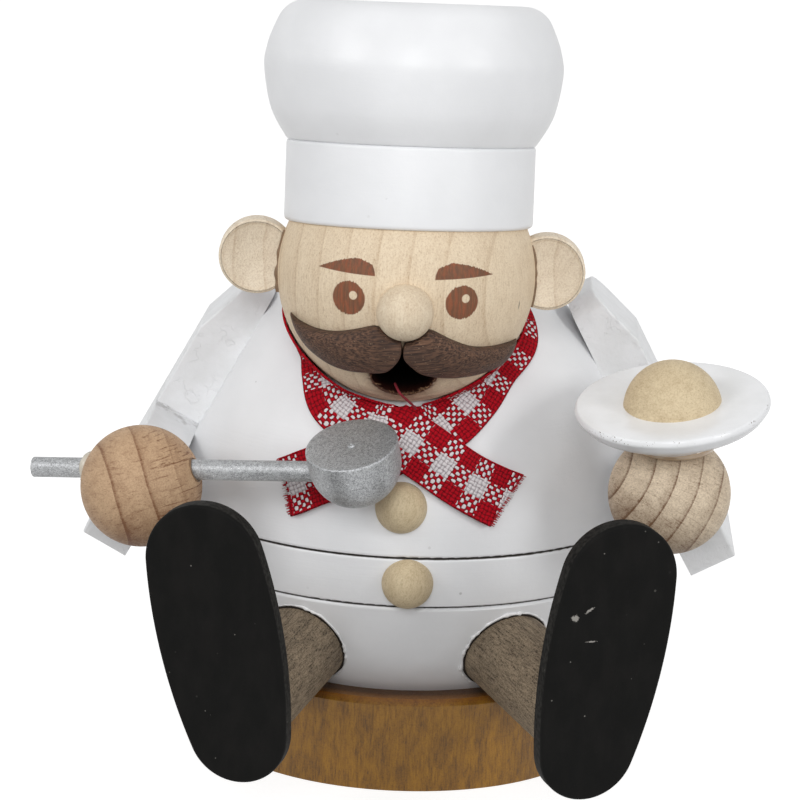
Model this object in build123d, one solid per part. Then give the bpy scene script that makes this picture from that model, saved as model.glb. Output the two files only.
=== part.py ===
from build123d import *
import os
from math import acos, asin, atan2, cos, degrees, radians, sin, sqrt, tan

# A seated cook who is an incense smoker, turned and sawn from wood.
# Millimetres, +Z up, the front of the figure looks along -Y.
# The origin is the middle of the base's underside.

os.makedirs("parts", exist_ok=True)

# Overrun for every cut, and the clearances of the fits
OVER = 5.0
GLUE_FIT = 0.05
LIFT_FIT = 0.35
CLOTH_GAP = 0.3

# Base
BASE_RADIUS = 42.0
BASE_HEIGHT = 19.5
BASE_BEVEL = 1.2
BASE_SPIGOT_RADIUS = 11.0
BASE_SPIGOT_HEIGHT = 4.0

# The ball that the body is cut from
BALL_RADIUS = 50.0
SEAT_SHARE = 0.71
WALL_SHARE = 0.22
PART_SHARE = 0.06
RING_SHARE = 0.214
SEAM_EASE = 0.7

# Waist ring: the lip that the jacket drops over, and the register below
LIP_HEIGHT = 6.0
LIP_WALL = 4.0
REGISTER_SHARE = 0.6
REGISTER_WALL = 4.0
REGISTER_HEIGHT = 4.0
RING_WEB = 4.0

# Fire chamber of the lower bowl
CHAMBER_SHARE = 0.4
FLOOR_SHARE = 0.15
INLET_RADIUS = 3.0
INLET_HEIGHT = 4.5

# Tin dish and its nail
DISH_RADIUS = 15.0
DISH_RIM = 3.0
DISH_SHEET = 0.8
NAIL_RADIUS = 0.9
NAIL_HEAD_RADIUS = 2.4
NAIL_HEAD_HEIGHT = 0.7
NAIL_LENGTH = 3.2

# Head
HEAD_RADIUS = 25.8
HEAD_STAND = 12.8
HEAD_NOD_ANGLE = 33.89
HEAD_TURN = 2.01
HEAD_LEAN_ANGLE = 7.7
BRIM_RISE = 10.0
SMOKE_BORE_RADIUS = 7.0
MOUTH_RADIUS = 6.5
MOUTH_DROP = 16.0
MOUTH_DIP_ANGLE = 12.0
MOUTH_PAST = 2.8

# Hat, turned as one piece
HAT_BAND_RADIUS = 24.9
HAT_BAND_HEIGHT = 16.2
HAT_EASE = 1.0
CROWN_RADIUS = 29.8
CROWN_HEIGHT = 27.6
CROWN_SHARES = (
    (0.950, 0.225), (1.000, 0.507), (0.985, 0.667), (0.940, 0.811), (0.877, 0.935), (0.768, 1.0),
)
HAT_DOWEL_RADIUS = 4.0
HAT_DOWEL_LENGTH = 14.0

# Face
NOSE_RADIUS = 5.6
NOSE_DIP_ANGLE = 5.3
NOSE_PEG_RADIUS = 2.5
NOSE_PEG_LENGTH = 5.0
EAR_RADIUS = 7.6
EAR_ASIDE_LEFT = 30.1
EAR_ASIDE_RIGHT = 28.2
EAR_RISE_LEFT = 2.5
EAR_RISE_RIGHT = 1.2
EAR_BACK = 1.5
EAR_THICKNESS = 5.0
EAR_RIM = 1.4
EAR_DISH_DEPTH = 1.6
MOUSTACHE_LENGTH = 23.0
MOUSTACHE_HEIGHT = 11.2
MOUSTACHE_THICKNESS = 3.0
MOUSTACHE_DROP = 9.9
MOUSTACHE_TURN_LEFT = 0.0
MOUSTACHE_TURN_RIGHT = -9.0
MOUSTACHE_GAP = 0.3
MOUSTACHE_SHARES = (
    (0.000, 0.00), (0.012, 0.10), (0.090, 0.18), (0.180, 0.30), (0.245, 0.34), (0.360, 0.29),
    (0.500, 0.20), (0.650, 0.155), (0.820, 0.19), (0.935, 0.29), (1.000, 0.37), (0.940, 0.08),
    (0.830, -0.17), (0.670, -0.36), (0.510, -0.465), (0.330, -0.50), (0.175, -0.46), (0.090, -0.37),
    (0.020, -0.18),
)

# Sleeves, sawn from a board and glued to flats milled on the ball
SLEEVE_THICKNESS = 10.1
SLEEVE_PITCH = 28.3
ARMS_TURN = -1.9
FLAT_DEPTH_LEFT = 4.9
FLAT_DEPTH_RIGHT = 2.2
SLEEVE_TOP = 22.0
SLEEVE_FRONT = 12.2
SLEEVE_REAR = 9.9
ELBOW_CREASE = 9.4
ELBOW_BOTTOM = 36.5
ELBOW_ROUND = 6.0
SHOULDER_ROUND = 5.0
SHOULDER_BEVEL = 4.3
SHOULDER_BEVEL_RUN = 13.0
CUFF_TOP = 10.6
CUFF_TILT = 14.0
SLEEVE_EASE = 0.5
ARM_DOWEL_RADIUS = 3.0
ARM_DOWEL_LENGTH = 10.0
WRIST_DOWEL_RADIUS = 2.0
WRIST_DOWEL_LENGTH = 9.0

# Hands
HAND_RADIUS = 12.2
HAND_FORWARD = 47.5
HAND_FLAT = 0.9
HAND_DROP_LEFT = 16.9
HAND_DROP_RIGHT = 14.2

# Ladle
HANDLE_RADIUS = 2.05
HANDLE_TAIL = 23.6
HANDLE_ABOVE_HAND = 3.3
HANDLE_BEHIND_HAND = 0.9
LADLE_RADIUS = 9.2
LADLE_COLLAR = 4.0
LADLE_EASE = 0.5
LADLE_GAP = 3.28
LADLE_TURN = 10.65
LADLE_PITCH = 17.7
LADLE_FORWARD_ANGLE = 18.5
LADLE_ASIDE_ANGLE = 12.1
LADLE_HANDLE_DROP = 2.2
LADLE_SOCKET = 4.0

# Plate and dumpling
PLATE_RADIUS = 19.4
PLATE_HEIGHT = 8.3
PLATE_RIM = 3.0
PLATE_FOOT_RADIUS = 8.0
PLATE_WELL_RADIUS = 13.5
PLATE_WELL_DEPTH = 0.9
PLATE_FORWARD_ANGLE = 10.4
PLATE_ASIDE_ANGLE = 6.6
PLATE_SHIFT = 1.6
PLATE_SEAT_DEPTH = 0.4
DUMPLING_RADIUS = 9.8
DUMPLING_CUT = 0.8

# Buttons
BUTTON_RADIUS = 5.2
BUTTON_SPOT_DEPTH = 0.35
BUTTON_PEG_RADIUS = 1.5
BUTTON_PEG_LENGTH = 5.0
BUTTON_UPPER_LIFT = 10.4
BUTTON_UPPER_TURN = -1.8
BUTTON_LOWER_TURN = 0.3

# Legs and shoes
LEG_RADIUS = 9.0
LEG_SPLAY_ANGLE = 19.0
LEG_DIP_ANGLE = 3.3
LEG_HOLE_TURN = 29.07
LEG_HOLE_PITCH = 30.66
LEG_SOCKET = 12.0
LEG_REACH = 42.8
LEG_TURN = 0.2
LEG_SWING_ANGLE = 2.8
SHOE_THICKNESS = 4.0
SHOE_TOE_RADIUS = 11.6
SHOE_HEEL_RADIUS = 10.0
SHOE_CENTRES = 34.9
SHOE_SIDE_RADIUS = 110.0
SHOE_INWARD = 2.1
SHOE_DROP_LEFT = 1.7
SHOE_DROP_RIGHT = 3.2
SHOE_LEAN_ANGLE_LEFT = 11.9
SHOE_LEAN_ANGLE_RIGHT = 7.4
SHOE_EASE = 0.6
SHOE_DOWEL_RADIUS = 2.5
SHOE_DOWEL_LENGTH = 6.0

# Scarf, a woven ribbon
RIBBON_WIDTH = 11.8
RIBBON_THICKNESS = 0.6
RIBBON_LAYER = 0.5
NECKBAND_CLEAR = 1.0
NECKBAND_SHOWN = 5.8
TAIL_START_CLEAR = 1.0
TAIL_LEFT_START_TURN = 17.3
TAIL_LEFT_END_TURN = -38.1
TAIL_LEFT_END_DOWN = 23.7
TAIL_RIGHT_START_TURN = -3.8
TAIL_RIGHT_END_TURN = 33.5
TAIL_RIGHT_END_DOWN = 24.9

# Levels and places worked out from the sizes above
QUARTER_TURN = 90
HALF_TURN = QUARTER_TURN + QUARTER_TURN
FULL_TURN = HALF_TURN + HALF_TURN
BALL_Z = BASE_HEIGHT + BALL_RADIUS * SEAT_SHARE
PART_DROP = BALL_RADIUS * PART_SHARE
PART_Z = BALL_Z - PART_DROP
SEAM_Z = PART_Z - BALL_RADIUS * RING_SHARE
FLOOR_Z = BASE_HEIGHT + BALL_RADIUS * FLOOR_SHARE
CHAMBER_RADIUS = BALL_RADIUS * CHAMBER_SHARE
REGISTER_RADIUS = BALL_RADIUS * REGISTER_SHARE
CAVITY_RADIUS = BALL_RADIUS - BALL_RADIUS * WALL_SHARE
BUTTON_UPPER_RISE = PART_Z + BUTTON_UPPER_LIFT
LIP_RADIUS = sqrt(CAVITY_RADIUS**2 - PART_DROP**2) - LIFT_FIT


def facing(turn, pitch):
    """A direction from the front: degrees turned to the right, then degrees raised."""
    turn, pitch = radians(turn), radians(pitch)
    return Vector(sin(turn) * cos(pitch), -cos(turn) * cos(pitch), sin(pitch))


BALL_CENTRE = Vector(0, 0, BALL_Z)
NECK_LENGTH = BALL_RADIUS + HEAD_STAND
NECK_AXIS = facing(-HEAD_TURN / sin(radians(HEAD_NOD_ANGLE)), QUARTER_TURN - HEAD_NOD_ANGLE)
HEAD_CENTRE = BALL_CENTRE + NECK_AXIS * NECK_LENGTH
SEAT_OUT = (NECK_LENGTH**2 + BALL_RADIUS**2 - HEAD_RADIUS**2) / (NECK_LENGTH + NECK_LENGTH)
SEAT_PLANE = Plane(origin=BALL_CENTRE + NECK_AXIS * SEAT_OUT, x_dir=(1, 0, 0), z_dir=NECK_AXIS)
HAT_AXIS = Vector(0, sin(radians(HEAD_LEAN_ANGLE)), cos(radians(HEAD_LEAN_ANGLE)))
HEAD_PLANE = Plane(origin=HEAD_CENTRE, x_dir=(1, 0, 0), z_dir=HAT_AXIS)


def ball(radius, centre):
    """A solid ball about a point."""
    return Pos(*centre) * Sphere(radius)


def rod(radius, start, end):
    """A round bar from one point to another."""
    along = end - start
    middle = (start + end) * 0.5
    return Plane(origin=middle, z_dir=along.normalized()) * Cylinder(radius, along.length)


def beyond(plane, size):
    """The block of space on the far side of a plane."""
    return plane * Pos(0, 0, size) * Box(size + size, size + size, size + size)


def turned(profile):
    """A lathe-turned piece from a half profile drawn in X and Z."""
    return revolve(Plane.XZ * profile, Axis.Z)


def zone(low, high):
    """The half profile of the body ball between two levels, its seam corners eased."""
    disc = Pos(0, BALL_Z) * Circle(BALL_RADIUS)
    window = Pos(BALL_RADIUS / 2, (low + high) / 2) * Rectangle(BALL_RADIUS, high - low)
    shape = disc & window
    outer = [v for v in shape.vertices() if v.X > BALL_RADIUS / 4 and v.Y > BASE_HEIGHT + SEAM_EASE]
    return fillet(outer, SEAM_EASE) if outer else shape


def frame(side):
    """One milled flat: a point on it, and the ways out of it and down the arm."""
    pitch = radians(SLEEVE_PITCH)
    out = Vector(side * cos(pitch), 0, sin(pitch)).rotate(Axis.Z, ARMS_TURN)
    down = Vector(side * sin(pitch), 0, -cos(pitch)).rotate(Axis.Z, ARMS_TURN)
    depth = FLAT_DEPTH_RIGHT if side > 0 else FLAT_DEPTH_LEFT
    return BALL_CENTRE + out * (BALL_RADIUS - depth), out, down


FRONT = Vector(0, -1, 0).rotate(Axis.Z, ARMS_TURN)


def arm_point(side, drop, forward, outward):
    """A point given by its drop along the arm, its reach forward and its height off the flat."""
    origin, out, down = frame(side)
    return origin + down * drop + FRONT * forward + out * outward


def cuff():
    """The cuff's face in the board's own plane: unit normal and its distance."""
    tilt = radians(CUFF_TILT)
    normal = (sin(tilt), cos(tilt))
    drop = (HAND_DROP_LEFT + HAND_DROP_RIGHT) / 2
    reach = normal[0] * drop + normal[1] * HAND_FORWARD - (HAND_RADIUS - HAND_FLAT)
    return normal, reach


def hand_centre(side):
    """The middle of a hand's ball, straight out from the cuff."""
    normal, reach = cuff()
    drop = HAND_DROP_RIGHT if side > 0 else HAND_DROP_LEFT
    forward = (reach + HAND_RADIUS - HAND_FLAT - normal[0] * drop) / normal[1]
    return arm_point(side, drop, forward, SLEEVE_THICKNESS / 2)


def cuff_normal(side):
    """The cuff face's normal in space."""
    normal = cuff()[0]
    down = frame(side)[2]
    return (down * normal[0] + FRONT * normal[1]).normalized()


HAND_LEFT = hand_centre(-1)
HAND_RIGHT = hand_centre(1)


# Body
def base_disc():
    rim = chamfer(Cylinder(BASE_RADIUS, BASE_HEIGHT).edges().group_by(Axis.Z)[-1], BASE_BEVEL)
    disc = Pos(0, 0, BASE_HEIGHT / 2) * rim
    spigot = Cylinder(BASE_SPIGOT_RADIUS, BASE_SPIGOT_HEIGHT)
    return disc + Pos(0, 0, BASE_HEIGHT + BASE_SPIGOT_HEIGHT / 2) * spigot


def leg_line(side):
    """Where a leg's axis enters the ball, and the way that it points."""
    splay = radians(LEG_SPLAY_ANGLE)
    dip = radians(LEG_DIP_ANGLE)
    out = facing(side * LEG_HOLE_TURN, -LEG_HOLE_PITCH).rotate(Axis.Z, LEG_TURN)
    way = Vector(side * sin(splay) * cos(dip), -cos(splay) * cos(dip), -sin(dip))
    return BALL_CENTRE + out * BALL_RADIUS, way.rotate(Axis.Z, LEG_SWING_ANGLE)


def lower_bowl():
    bowl = turned(zone(BASE_HEIGHT, SEAM_Z))
    recess = BASE_SPIGOT_HEIGHT + GLUE_FIT
    bowl -= Pos(0, 0, BASE_HEIGHT + recess / 2) * Cylinder(BASE_SPIGOT_RADIUS + GLUE_FIT, recess)
    chamber = SEAM_Z - FLOOR_Z + OVER
    bowl -= Pos(0, 0, FLOOR_Z + chamber / 2) * Cylinder(CHAMBER_RADIUS, chamber)
    step = REGISTER_HEIGHT + GLUE_FIT + OVER
    bowl -= Pos(0, 0, SEAM_Z + OVER - step / 2) * Cylinder(REGISTER_RADIUS + GLUE_FIT, step)
    for side in (-1, 1):
        hole, way = leg_line(side)
        bowl -= rod(LEG_RADIUS + GLUE_FIT, hole - way * LEG_SOCKET, hole + way * LEG_REACH)
    inlet = FLOOR_Z + INLET_HEIGHT
    bowl -= rod(INLET_RADIUS, Vector(0, 0, inlet), Vector(0, BALL_RADIUS + OVER, inlet))
    bowl -= rod(NAIL_RADIUS, Vector(0, 0, FLOOR_Z - NAIL_LENGTH), Vector(0, 0, FLOOR_Z + OVER))
    return bowl


def button_place(rise, turn):
    """A button's seat: its spot face on the ball, looking straight out."""
    up = rise - BALL_Z
    pitch = asin(up / BALL_RADIUS)
    way = Vector(0, -cos(pitch), sin(pitch)).rotate(Axis.Z, turn)
    return BALL_CENTRE + way * (BALL_RADIUS - BUTTON_SPOT_DEPTH), way


BUTTON_LOWER_RISE = (PART_Z + SEAM_Z) / 2


def button_cut(rise, turn):
    """The spot face and peg hole that a button is glued in."""
    seat, way = button_place(rise, turn)
    spot = rod(BUTTON_RADIUS, seat, seat + way * OVER)
    foot = seat - way * (BUTTON_PEG_LENGTH + GLUE_FIT)
    return spot + rod(BUTTON_PEG_RADIUS + GLUE_FIT, foot, seat + way)


def button(rise, turn):
    seat, way = button_place(rise, turn)
    dome = ball(BUTTON_RADIUS, seat) & beyond(Plane(origin=seat, z_dir=way), BUTTON_RADIUS + OVER)
    return dome + rod(BUTTON_PEG_RADIUS, seat - way * BUTTON_PEG_LENGTH, seat + way)


def waist_ring():
    ring = turned(zone(SEAM_Z, PART_Z))
    lip_top = PART_Z + LIP_HEIGHT
    foot = SEAM_Z - REGISTER_HEIGHT
    ring += Pos(0, 0, (PART_Z + lip_top) / 2) * Cylinder(LIP_RADIUS, LIP_HEIGHT)
    ring += Pos(0, 0, (SEAM_Z + foot) / 2) * Cylinder(REGISTER_RADIUS, REGISTER_HEIGHT)
    web_top = SEAM_Z + RING_WEB
    cup = Cylinder(LIP_RADIUS - LIP_WALL, lip_top + OVER - web_top)
    ring -= Pos(0, 0, (web_top + lip_top + OVER) / 2) * cup
    through = RING_WEB + REGISTER_HEIGHT + OVER
    ring -= Pos(0, 0, SEAM_Z) * Cylinder(REGISTER_RADIUS - REGISTER_WALL, through + through)
    return ring - button_cut(BUTTON_LOWER_RISE, BUTTON_LOWER_TURN)


def jacket():
    shell = turned(zone(PART_Z, BALL_Z + BALL_RADIUS)) - ball(CAVITY_RADIUS, BALL_CENTRE)
    shell -= beyond(SEAT_PLANE, BALL_RADIUS)
    shell -= rod(SMOKE_BORE_RADIUS, BALL_CENTRE, HEAD_CENTRE)
    for side in (-1, 1):
        origin, out = frame(side)[:2]
        shell -= beyond(Plane(origin=origin, z_dir=out), BALL_RADIUS)
        shell -= arm_hole(side)
    return shell - button_cut(BUTTON_UPPER_RISE, BUTTON_UPPER_TURN)


def incense_dish():
    pan = Pos(0, 0, FLOOR_Z + DISH_RIM / 2) * Cylinder(DISH_RADIUS, DISH_RIM)
    hollow = DISH_RADIUS - DISH_SHEET
    pan -= Pos(0, 0, FLOOR_Z + DISH_SHEET + DISH_RIM / 2) * Cylinder(hollow, DISH_RIM)
    return pan - Pos(0, 0, FLOOR_Z) * Cylinder(NAIL_RADIUS, DISH_RIM)


def dish_nail():
    top = FLOOR_Z + DISH_SHEET
    shank = rod(NAIL_RADIUS, Vector(0, 0, FLOOR_Z - NAIL_LENGTH), Vector(0, 0, top))
    return shank + Pos(0, 0, top + NAIL_HEAD_HEIGHT / 2) * Cylinder(NAIL_HEAD_RADIUS, NAIL_HEAD_HEIGHT)


# Head and hat
def nose_place():
    dip = radians(NOSE_DIP_ANGLE)
    way = Vector(0, -cos(dip), -sin(dip))
    return HEAD_CENTRE + way * HEAD_RADIUS, way


def mouth_line():
    """The mouth bore: where it opens on the chin, and the way that it is drilled."""
    forward = sqrt(HEAD_RADIUS**2 - MOUTH_DROP**2)
    opening = HEAD_CENTRE + Vector(0, -forward, -MOUTH_DROP)
    dip = radians(MOUTH_DIP_ANGLE)
    return opening, Vector(0, cos(dip), sin(dip))


def hat_dowel(extra=0.0):
    half = HAT_DOWEL_LENGTH / 2 + extra
    return HEAD_PLANE * Pos(0, 0, BRIM_RISE) * Cylinder(HAT_DOWEL_RADIUS + extra, half + half)


def head():
    brim = Plane(origin=HEAD_CENTRE + HEAD_PLANE.z_dir * BRIM_RISE, z_dir=HEAD_PLANE.z_dir)
    neck_side = Plane(origin=SEAT_PLANE.origin, z_dir=NECK_AXIS * -1)
    skull = ball(HEAD_RADIUS, HEAD_CENTRE)
    skull = skull - beyond(brim, HEAD_RADIUS) - beyond(neck_side, HEAD_RADIUS)
    opening, inward = mouth_line()
    reach = sqrt(HEAD_RADIUS**2 - MOUTH_DROP**2) + MOUTH_PAST
    skull -= rod(MOUTH_RADIUS, opening - inward * OVER, opening + inward * reach)
    bore_top = SEAT_PLANE.origin + NECK_AXIS * (SMOKE_BORE_RADIUS + SMOKE_BORE_RADIUS)
    skull -= rod(SMOKE_BORE_RADIUS, SEAT_PLANE.origin - NECK_AXIS * OVER, bore_top)
    seat, way = nose_place()
    skull -= nose_peg(seat, way, GLUE_FIT)
    return skull - hat_dowel(GLUE_FIT)


def nose_peg(seat, way, extra=0.0):
    return rod(NOSE_PEG_RADIUS + extra, seat - way * (NOSE_PEG_LENGTH + extra), seat)


def nose():
    """A turned knob whose back is hollowed to the head's own curve, with its peg."""
    seat, way = nose_place()
    meet = -(NOSE_RADIUS**2) / (HEAD_RADIUS + HEAD_RADIUS)
    edge = (sqrt(NOSE_RADIUS**2 - meet**2), meet)
    half = degrees(atan2(edge[1], edge[0]))
    front = CenterArc((0, 0), NOSE_RADIUS, half, QUARTER_TURN - half)
    root = (NOSE_PEG_RADIUS, sqrt(HEAD_RADIUS**2 - NOSE_PEG_RADIUS**2) - HEAD_RADIUS)
    swing = degrees(asin(edge[0] / HEAD_RADIUS)) - degrees(asin(NOSE_PEG_RADIUS / HEAD_RADIUS))
    start = QUARTER_TURN - degrees(asin(edge[0] / HEAD_RADIUS))
    back = CenterArc((0, -HEAD_RADIUS), HEAD_RADIUS, start, swing)
    peg = Polyline(root, (NOSE_PEG_RADIUS, -NOSE_PEG_LENGTH), (0, -NOSE_PEG_LENGTH), (0, NOSE_RADIUS))
    return Plane(origin=seat, x_dir=(1, 0, 0), z_dir=way) * turned(make_face(front + back + peg))


def ear(side):
    """A turned disc with a dished face, hollowed at its edge to sit against the head."""
    aside, rise = (EAR_ASIDE_RIGHT, EAR_RISE_RIGHT) if side > 0 else (-EAR_ASIDE_LEFT, EAR_RISE_LEFT)
    plane = Plane(origin=HEAD_CENTRE + Vector(aside, EAR_BACK, rise), z_dir=(0, -1, 0))
    disc = Cylinder(EAR_RADIUS, EAR_THICKNESS)
    disc = fillet(disc.edges().group_by(Axis.Z)[-1], EAR_RIM / 2)
    hollow = EAR_RADIUS - EAR_RIM
    bend = (hollow**2 + EAR_DISH_DEPTH**2) / (EAR_DISH_DEPTH + EAR_DISH_DEPTH)
    disc -= Pos(0, 0, EAR_THICKNESS / 2 + bend - EAR_DISH_DEPTH) * Sphere(bend)
    return plane * disc - ball(HEAD_RADIUS, HEAD_CENTRE)


def moustache(side):
    """Half a moustache, sawn to its outline and hollowed to lie on the face."""
    turn = MOUSTACHE_TURN_RIGHT if side > 0 else MOUSTACHE_TURN_LEFT
    points = [(x * MOUSTACHE_LENGTH, z * MOUSTACHE_HEIGHT) for x, z in MOUSTACHE_SHARES]
    tip = MOUSTACHE_SHARES.index((1.000, 0.37))
    upper = Spline(*points[: tip + 1])
    lower = Spline(*points[tip:], points[0])
    outline = make_face(upper + lower)
    reach = HEAD_RADIUS + MOUSTACHE_THICKNESS + OVER
    block = extrude(Pos(MOUSTACHE_GAP / 2, 0) * (Rot(0, 0, turn) * outline), reach)
    plane = Plane(origin=HEAD_CENTRE + Vector(0, 0, -MOUSTACHE_DROP), x_dir=(1, 0, 0), z_dir=(0, -1, 0))
    block = plane * block
    if side < 0:
        over = HEAD_CENTRE.X
        block = Pos(over, 0, 0) * (Pos(-over, 0, 0) * block).mirror(Plane.YZ)
    block &= ball(HEAD_RADIUS + MOUSTACHE_THICKNESS, HEAD_CENTRE)
    seat = nose_place()[0]
    return block - ball(HEAD_RADIUS, HEAD_CENTRE) - ball(NOSE_RADIUS + GLUE_FIT, seat)


def hat():
    """Band and puffed crown in one turned piece."""
    step = HAT_BAND_HEIGHT
    rise = [(x * CROWN_RADIUS, step + z * CROWN_HEIGHT) for x, z in CROWN_SHARES]
    top = step + CROWN_HEIGHT
    ease = HAT_EASE
    foot = Line((0, 0), (HAT_BAND_RADIUS - ease, 0))
    edge = CenterArc((HAT_BAND_RADIUS - ease, ease), ease, -QUARTER_TURN, QUARTER_TURN)
    band = Line((HAT_BAND_RADIUS, ease), (HAT_BAND_RADIUS, step))
    low = ThreePointArc((HAT_BAND_RADIUS, step), rise[0], rise[1])
    middle = ThreePointArc(rise[1], rise[2], rise[3])
    high = ThreePointArc(rise[3], rise[4], rise[5])
    close = Polyline(rise[5], (0, top), (0, 0))
    profile = make_face(foot + edge + band + low + middle + high + close)
    body = revolve(Plane.XZ * profile, Axis.Z)
    return HEAD_PLANE * Pos(0, 0, BRIM_RISE) * body - hat_dowel(GLUE_FIT)


# Arms
def arm_dowel(side, extra=0.0):
    half = ARM_DOWEL_LENGTH / 2 + extra
    start = arm_point(side, 0, 0, -half)
    return rod(ARM_DOWEL_RADIUS + extra, start, arm_point(side, 0, 0, half))


def arm_hole(side):
    return arm_dowel(side, GLUE_FIT)


def wrist_dowel(side, extra=0.0):
    way = cuff_normal(side)
    middle = hand_centre(side) - way * (HAND_RADIUS - HAND_FLAT)
    half = WRIST_DOWEL_LENGTH / 2 + extra
    return rod(WRIST_DOWEL_RADIUS + extra, middle - way * half, middle + way * half)


def sleeve(side):
    normal, reach = cuff()

    def on_cuff(drop):
        return (reach - normal[0] * drop) / normal[1]

    points = (
        (-SLEEVE_TOP, -SLEEVE_REAR),
        (-SLEEVE_TOP, SLEEVE_FRONT),
        (ELBOW_CREASE, SLEEVE_FRONT),
        (CUFF_TOP, on_cuff(CUFF_TOP)),
        (ELBOW_BOTTOM, on_cuff(ELBOW_BOTTOM)),
        (ELBOW_BOTTOM, -SLEEVE_REAR),
    )
    outline = make_face(Polyline(*points, close=True))
    corners = outline.vertices()
    elbow = corners.sort_by_distance((ELBOW_BOTTOM, -SLEEVE_REAR))[0]
    outline = fillet(elbow, ELBOW_ROUND)
    shoulders = outline.vertices().group_by(Axis.X)[0]
    outline = fillet(shoulders, SHOULDER_ROUND)
    board = extrude(outline, SLEEVE_THICKNESS)
    run = SHOULDER_BEVEL_RUN
    wedge = Plane.XZ * make_face(
        Polyline(
            (-SLEEVE_TOP - OVER, SLEEVE_THICKNESS - SHOULDER_BEVEL * (run + OVER) / run),
            (-SLEEVE_TOP + run, SLEEVE_THICKNESS),
            (-SLEEVE_TOP + run, SLEEVE_THICKNESS + OVER),
            (-SLEEVE_TOP - OVER, SLEEVE_THICKNESS + OVER),
            close=True,
        )
    )
    board -= Pos(0, SLEEVE_FRONT + OVER, 0) * extrude(wedge, SLEEVE_FRONT + SLEEVE_REAR + OVER + OVER)
    skirt = SLEEVE_THICKNESS - SHOULDER_BEVEL - SLEEVE_EASE
    outer = board.edges().filter_by(lambda e: e.center().Z > skirt)
    board = fillet(outer, SLEEVE_EASE)
    if side > 0:
        board = board.mirror(Plane.XZ)
    origin, out, down = frame(side)
    board = Plane(origin=origin, x_dir=down, z_dir=out) * board
    return board - arm_hole(side) - wrist_dowel(side, GLUE_FIT)


def hand(side):
    way = cuff_normal(side)
    centre = hand_centre(side)
    back = Plane(origin=centre - way * (HAND_RADIUS - HAND_FLAT), z_dir=way * -1)
    fist = ball(HAND_RADIUS, centre) - beyond(back, HAND_RADIUS) - wrist_dowel(side, GLUE_FIT)
    if side < 0:
        return fist - handle_rod(GLUE_FIT)
    seat, up = plate_place()
    return fist - beyond(Plane(origin=seat, z_dir=up), HAND_RADIUS)


# What the hands hold
def tipped(forward, aside):
    """A direction that starts straight up, tipped to the front and to the left."""
    return Vector(-tan(radians(aside)), -tan(radians(forward)), 1).normalized()


LADLE_CENTRE = BALL_CENTRE + facing(-LADLE_TURN, LADLE_PITCH) * (BALL_RADIUS + LADLE_RADIUS + LADLE_GAP)
HANDLE_IN_HAND = HAND_LEFT + Vector(0, HANDLE_BEHIND_HAND, HANDLE_ABOVE_HAND)
LADLE_SOCKET_POINT = LADLE_CENTRE - Vector(0, 0, LADLE_HANDLE_DROP)
HANDLE_WAY = (LADLE_SOCKET_POINT - HANDLE_IN_HAND).normalized()
HANDLE_START = HANDLE_IN_HAND - HANDLE_WAY * HANDLE_TAIL
HANDLE_END = LADLE_SOCKET_POINT - HANDLE_WAY * (LADLE_RADIUS - LADLE_SOCKET)


def handle_rod(extra=0.0):
    return rod(HANDLE_RADIUS + extra, HANDLE_START - HANDLE_WAY * extra, HANDLE_END + HANDLE_WAY * extra)


def ladle_handle():
    return handle_rod()


def ladle_bowl():
    """A turned cup shape: a short collar over a half ball, flat on top."""
    up = tipped(LADLE_FORWARD_ANGLE, LADLE_ASIDE_ANGLE)
    plane = Plane(origin=LADLE_CENTRE, z_dir=up)
    collar = Cylinder(LADLE_RADIUS, LADLE_COLLAR)
    collar = Pos(0, 0, LADLE_COLLAR / 2) * fillet(collar.edges().group_by(Axis.Z)[-1], LADLE_EASE)
    lower = Sphere(LADLE_RADIUS) - beyond(Plane.XY, LADLE_RADIUS)
    return plane * (collar + lower) - handle_rod(GLUE_FIT)


def plate_place():
    """The flat on the hand that the plate's foot is glued to."""
    up = tipped(PLATE_FORWARD_ANGLE, PLATE_ASIDE_ANGLE)
    return HAND_RIGHT + up * (HAND_RADIUS - PLATE_SEAT_DEPTH) + Vector(PLATE_SHIFT, 0, 0), up


def plate():
    seat, up = plate_place()
    rim = PLATE_HEIGHT - PLATE_RIM
    profile = make_face(
        Polyline(
            (0, 0),
            (PLATE_FOOT_RADIUS, 0),
            (PLATE_RADIUS - PLATE_RIM / 2, rim),
            (PLATE_RADIUS, PLATE_HEIGHT - PLATE_RIM / 2),
            (PLATE_RADIUS - PLATE_RIM / 4, PLATE_HEIGHT),
            (PLATE_WELL_RADIUS + PLATE_WELL_DEPTH, PLATE_HEIGHT),
            (PLATE_WELL_RADIUS, PLATE_HEIGHT - PLATE_WELL_DEPTH),
            (0, PLATE_HEIGHT - PLATE_WELL_DEPTH),
            close=True,
        )
    )
    edge = [v for v in profile.vertices() if v.X > PLATE_WELL_RADIUS + PLATE_RIM]
    profile = fillet(edge, PLATE_RIM / 4)
    return Plane(origin=seat, z_dir=up) * turned(profile)


def dumpling():
    seat, up = plate_place()
    floor = seat + up * (PLATE_HEIGHT - PLATE_WELL_DEPTH)
    above = beyond(Plane(origin=floor, z_dir=up), PLATE_RADIUS)
    return ball(DUMPLING_RADIUS, floor - up * DUMPLING_CUT) & above


# Legs and shoes
def leg_end(side):
    hole, way = leg_line(side)
    return hole + way * LEG_REACH, way


def shoe_dowel(side, extra=0.0):
    end, way = leg_end(side)
    half = SHOE_DOWEL_LENGTH / 2 + extra
    return rod(SHOE_DOWEL_RADIUS + extra, end - way * half, end + way * half)


def leg(side):
    hole, way = leg_line(side)
    end, way = leg_end(side)
    return rod(LEG_RADIUS, hole - way * (LEG_SOCKET - GLUE_FIT), end) - shoe_dowel(side, GLUE_FIT)


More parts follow.
